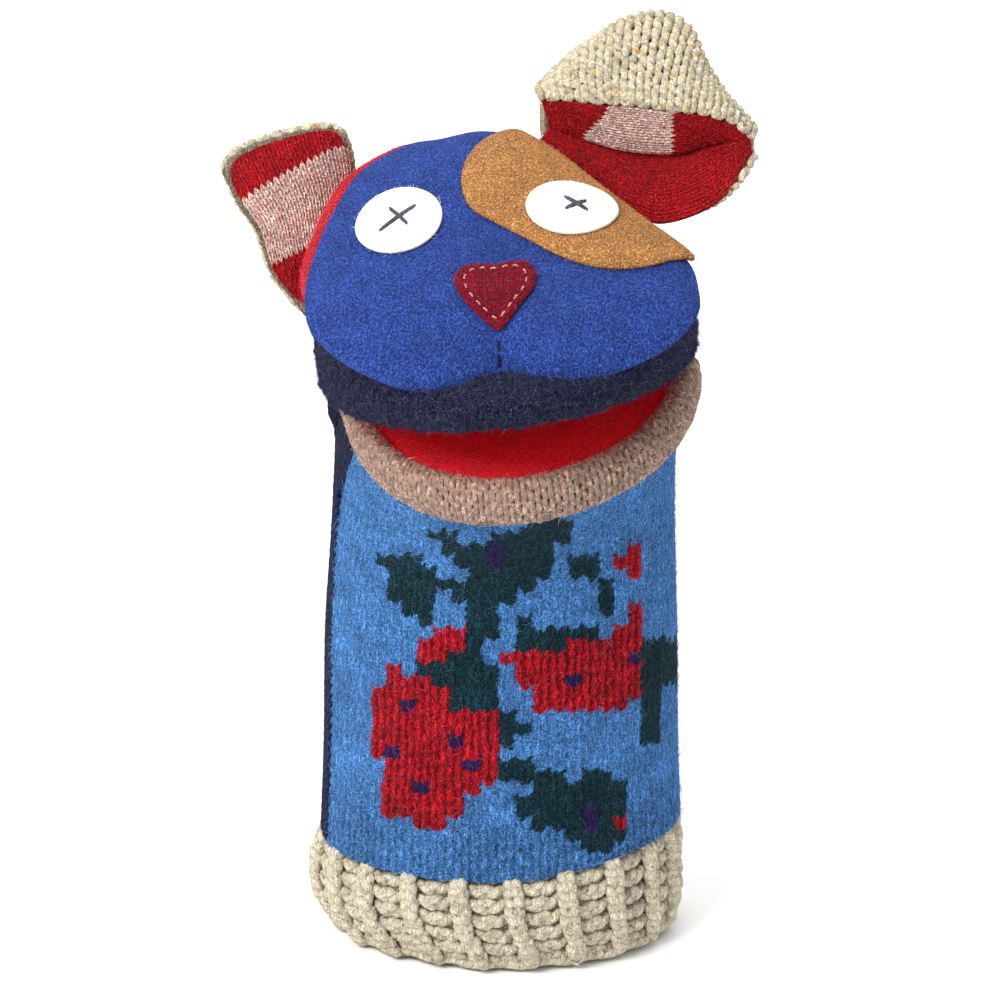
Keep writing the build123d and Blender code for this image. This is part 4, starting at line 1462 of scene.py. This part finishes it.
def make_wools(tints):
    """Every material, by the name that the makers use."""
    cream = tuple(tints.cream)
    tweed = tuple(tints.tweed)
    red, pink = tuple(tints.ear_red), tuple(tints.ear_pink)
    gold = ((0.55, 0.38, 0.12), 0.64)
    brown = ((0.16, 0.09, 0.05), 0.69)
    pale = ((0.80, 0.76, 0.66), 0.66)
    return {
        "sleeve": wool("blue_motif_wool", None, 0.8, 0.012, fine=0.0005, grain=0.55),
        "fibre": fibre_wool("stray_fibres"),
        "back": wool("navy_knitted_wool", tuple(tints.back), 0.6, 0.01, knit=0.0004),
        "navy_yarn": yarn("navy_thread_wool", tuple(tints.navy_thread), ()),
        "seam_yarn": yarn("seam_wool", (0.06, 0.07, 0.09), ()),
        "violet_yarn": yarn("violet_thread_wool", tuple(tints.violet), (), ply=1.2),
        "thread": yarn("pale_thread", tuple(tints.thread), (), ply=0.8),
        "cuff": yarn("cream_heather_wool", cream, (((0.28, 0.21, 0.15), 0.66),)),
        # painted shade: the ground sheets under the cuff, chin band and ear yarn are darker than their yarn,
        # for the shade between the loops
        "cuff_ground": wool("cream_wool_ground", tuple(c * 0.65 for c in cream), 0.5, 0.03),
        "lip_yarn": yarn("beige_heather_wool", (0.30, 0.205, 0.165), (((0.50, 0.32, 0.26), 0.60), brown)),
        "lip_ground": wool("beige_wool_ground", (0.16, 0.12, 0.09), 0.5, 0.03),
        "tweed": yarn("gold_fleck_tweed", tweed, (gold, brown, pale)),
        "tweed_ground": wool("tweed_wool_ground", tuple(c * 0.42 for c in tweed), 0.5, 0.03),
        "mouth": wool("bright_red_knit", tuple(tints.mouth), 0.6, 0.01, knit=0.0004, groove=0.7, grain=0.3),
        # painted shade: the back of the head is the mouth's red wool at half brightness
        "head_back": wool("back_red_knit", tuple(c * 0.5 for c in tints.mouth), 0.6, 0.02, knit=0.0003),
        "face": wool("royal_blue_felt", tuple(tints.face), 0.8, 0.02, grain=0.5),
        "lip": wool("navy_felted_wool", tuple(tints.lip), 0.9, 0.05, fine=0.0012, grain=0.7),
        "patch": wool("tan_felt", tuple(tints.patch), 0.7, 0.05, grain=0.45),
        "white": wool("white_felt", tuple(tints.white), 0.10, 0.05, fine=0.0002, grain=0.06),
        "nose": wool("crimson_felt", tuple(tints.nose), 0.6, 0.01),
        "stuffing": wool("wool_stuffing", (0.55, 0.52, 0.46), 0.4, 0.2),
        "board": board_material("stiff_card"),
        "left_lining": wool("left_striped_knit", red, 0.6, 0.008, knit=0.0004, groove=0.8,
                            banded=((*EAR_BAND, pink),)),
        "right_lining": wool("right_striped_knit", red, 0.6, 0.008, knit=0.0004, groove=0.8,
                             banded=((*EAR_BAND, pink),)),
    }


def make_camera():
    lens = bpy.data.cameras.new("camera")
    lens.sensor_width = 36.0
    distance = 2.5
    lens.lens = 36.0 * distance / 0.31
    camera = bpy.data.objects.new("camera", lens)
    aim = Vector((0.0, 0.0, 0.1426))
    away = Vector((0.0, -math.cos(VIEW_TILT), math.sin(VIEW_TILT)))
    camera.location = aim + away * distance
    camera.rotation_euler = (math.pi / 2 - VIEW_TILT, 0.0, 0.0)
    bpy.context.scene.collection.objects.link(camera)
    bpy.context.scene.camera = camera


def make_light(name, place, size, power, tint=(1.0, 1.0, 1.0)):
    lamp = bpy.data.lights.new(name, "AREA")
    lamp.size = size
    lamp.energy = power
    lamp.color = tint
    light = bpy.data.objects.new(name, lamp)
    light.location = place
    light.rotation_euler = (Vector((0, 0, 0.15)) - Vector(place)).to_track_quat("-Z", "Y").to_euler()
    bpy.context.scene.collection.objects.link(light)


def make_stage():
    """Pale floor, soft studio light and the camera."""
    bpy.ops.object.select_all(action="DESELECT")
    bpy.ops.mesh.primitive_plane_add(size=6.0, location=(0, 0, 0))
    floor = bpy.context.active_object
    floor.name = "studio_floor"
    n = Nodes("pale_floor")
    grain = n.noise((3, 3, 3))
    tint = n.mix(grain, rgba((0.94, 0.94, 0.94)), rgba((0.97, 0.97, 0.97)))
    floor.data.materials.append(n.finish(tint, n.bump(grain, 0.01, 0.001), 0.0, 0.9))
    make_light("key", (-0.75, -0.75, 1.05), 0.7, 21.0, (1.0, 0.985, 0.96))
    make_light("fill", (0.95, -0.75, 0.55), 1.1, 2.8, (0.96, 0.98, 1.0))
    make_light("top", (0.0, 0.25, 1.25), 1.0, 9.0)
    make_light("back", (0.3, 1.2, 0.7), 1.0, 6.0)
    world = bpy.data.worlds.new("studio")
    world.use_nodes = True
    world.node_tree.nodes["Background"].inputs[0].default_value = (1.0, 1.0, 1.0, 1.0)
    world.node_tree.nodes["Background"].inputs[1].default_value = 0.55
    bpy.context.scene.world = world
    bpy.context.scene.view_settings.view_transform = "Standard"
    make_camera()


# ---------------------------------------------------------------- operators

WOOLS = {}


def settings():
    scene = bpy.context.scene
    if not WOOLS:
        WOOLS.update(make_wools(scene.puppet_colours))
    return scene.puppet_sizes, scene.puppet_colours, WOOLS


class PUPPET_OT_stage(bpy.types.Operator):
    """Adds the floor, the lights and the camera"""
    bl_idname = "puppet.stage"
    bl_label = "Stage"

    def execute(self, context):
        make_stage()
        return {"FINISHED"}


class PUPPET_OT_sleeve(bpy.types.Operator):
    """Knits the sleeve's front and back panels and sews their side seams"""
    bl_idname = "puppet.sleeve"
    bl_label = "Sleeve"

    def execute(self, context):
        for make in (make_front_panel, make_back_panel, make_side_seams):
            make(*settings())
        return {"FINISHED"}


class PUPPET_OT_cuff(bpy.types.Operator):
    """Knits the ribbed cuff, yarn by yarn, and its seam"""
    bl_idname = "puppet.cuff"
    bl_label = "Cuff"

    def execute(self, context):
        make_cuff(*settings())
        return {"FINISHED"}


class PUPPET_OT_mouth(bpy.types.Operator):
    """Knits the chin band, both red linings and their boards"""
    bl_idname = "puppet.mouth"
    bl_label = "Mouth"

    def execute(self, context):
        for make in (make_chin_band, make_mouth):
            make(*settings())
        return {"FINISHED"}


class PUPPET_OT_head(bpy.types.Operator):
    """Makes the lip band, the back of the head and the wadding"""
    bl_idname = "puppet.head"
    bl_label = "Head"

    def execute(self, context):
        for make in (make_lip_band, make_head_back, make_padding):
            make(*settings())
        return {"FINISHED"}


class PUPPET_OT_felt(bpy.types.Operator):
    """Cuts the face, eyes, patch and nose from felt and stitches them"""
    bl_idname = "puppet.felt"
    bl_label = "Felt face"

    def execute(self, context):
        make_felt(*settings())
        return {"FINISHED"}


class PUPPET_OT_ears(bpy.types.Operator):
    """Knits both ears, lining and outer"""
    bl_idname = "puppet.ears"
    bl_label = "Ears"

    def execute(self, context):
        for make in (make_left_ear, make_right_ear):
            make(*settings())
        return {"FINISHED"}


class PUPPET_OT_fuzz(bpy.types.Operator):
    """Lays stray wool fibres over the cloth, felt and yarn"""
    bl_idname = "puppet.fuzz"
    bl_label = "Stray fibres"

    def execute(self, context):
        make_fuzz(*settings())
        return {"FINISHED"}


OPERATORS = (
    PUPPET_OT_stage, PUPPET_OT_sleeve, PUPPET_OT_cuff, PUPPET_OT_mouth, PUPPET_OT_head, PUPPET_OT_felt,
    PUPPET_OT_ears, PUPPET_OT_fuzz,
)


class PUPPET_PT_panel(bpy.types.Panel):
    """Lists the puppet's makers"""
    bl_idname = "PUPPET_PT_panel"
    bl_label = "Hand puppet"
    bl_space_type = "VIEW_3D"
    bl_region_type = "UI"
    bl_category = "Puppet"

    def draw(self, context):
        for operator in OPERATORS:
            self.layout.operator(operator.bl_idname)


CLASSES = (PuppetSizes, PuppetColours, PUPPET_PT_panel) + OPERATORS


def register():
    for cls in CLASSES:
        bpy.utils.register_class(cls)
    bpy.types.Scene.puppet_sizes = bpy.props.PointerProperty(type=PuppetSizes)
    bpy.types.Scene.puppet_colours = bpy.props.PointerProperty(type=PuppetColours)


def unregister():
    del bpy.types.Scene.puppet_sizes
    del bpy.types.Scene.puppet_colours
    for cls in reversed(CLASSES):
        bpy.utils.unregister_class(cls)


def main():
    register()
    for operator in OPERATORS:
        family, action = operator.bl_idname.split(".")
        getattr(getattr(bpy.ops, family), action)()


if __name__ == "__main__":
    main()
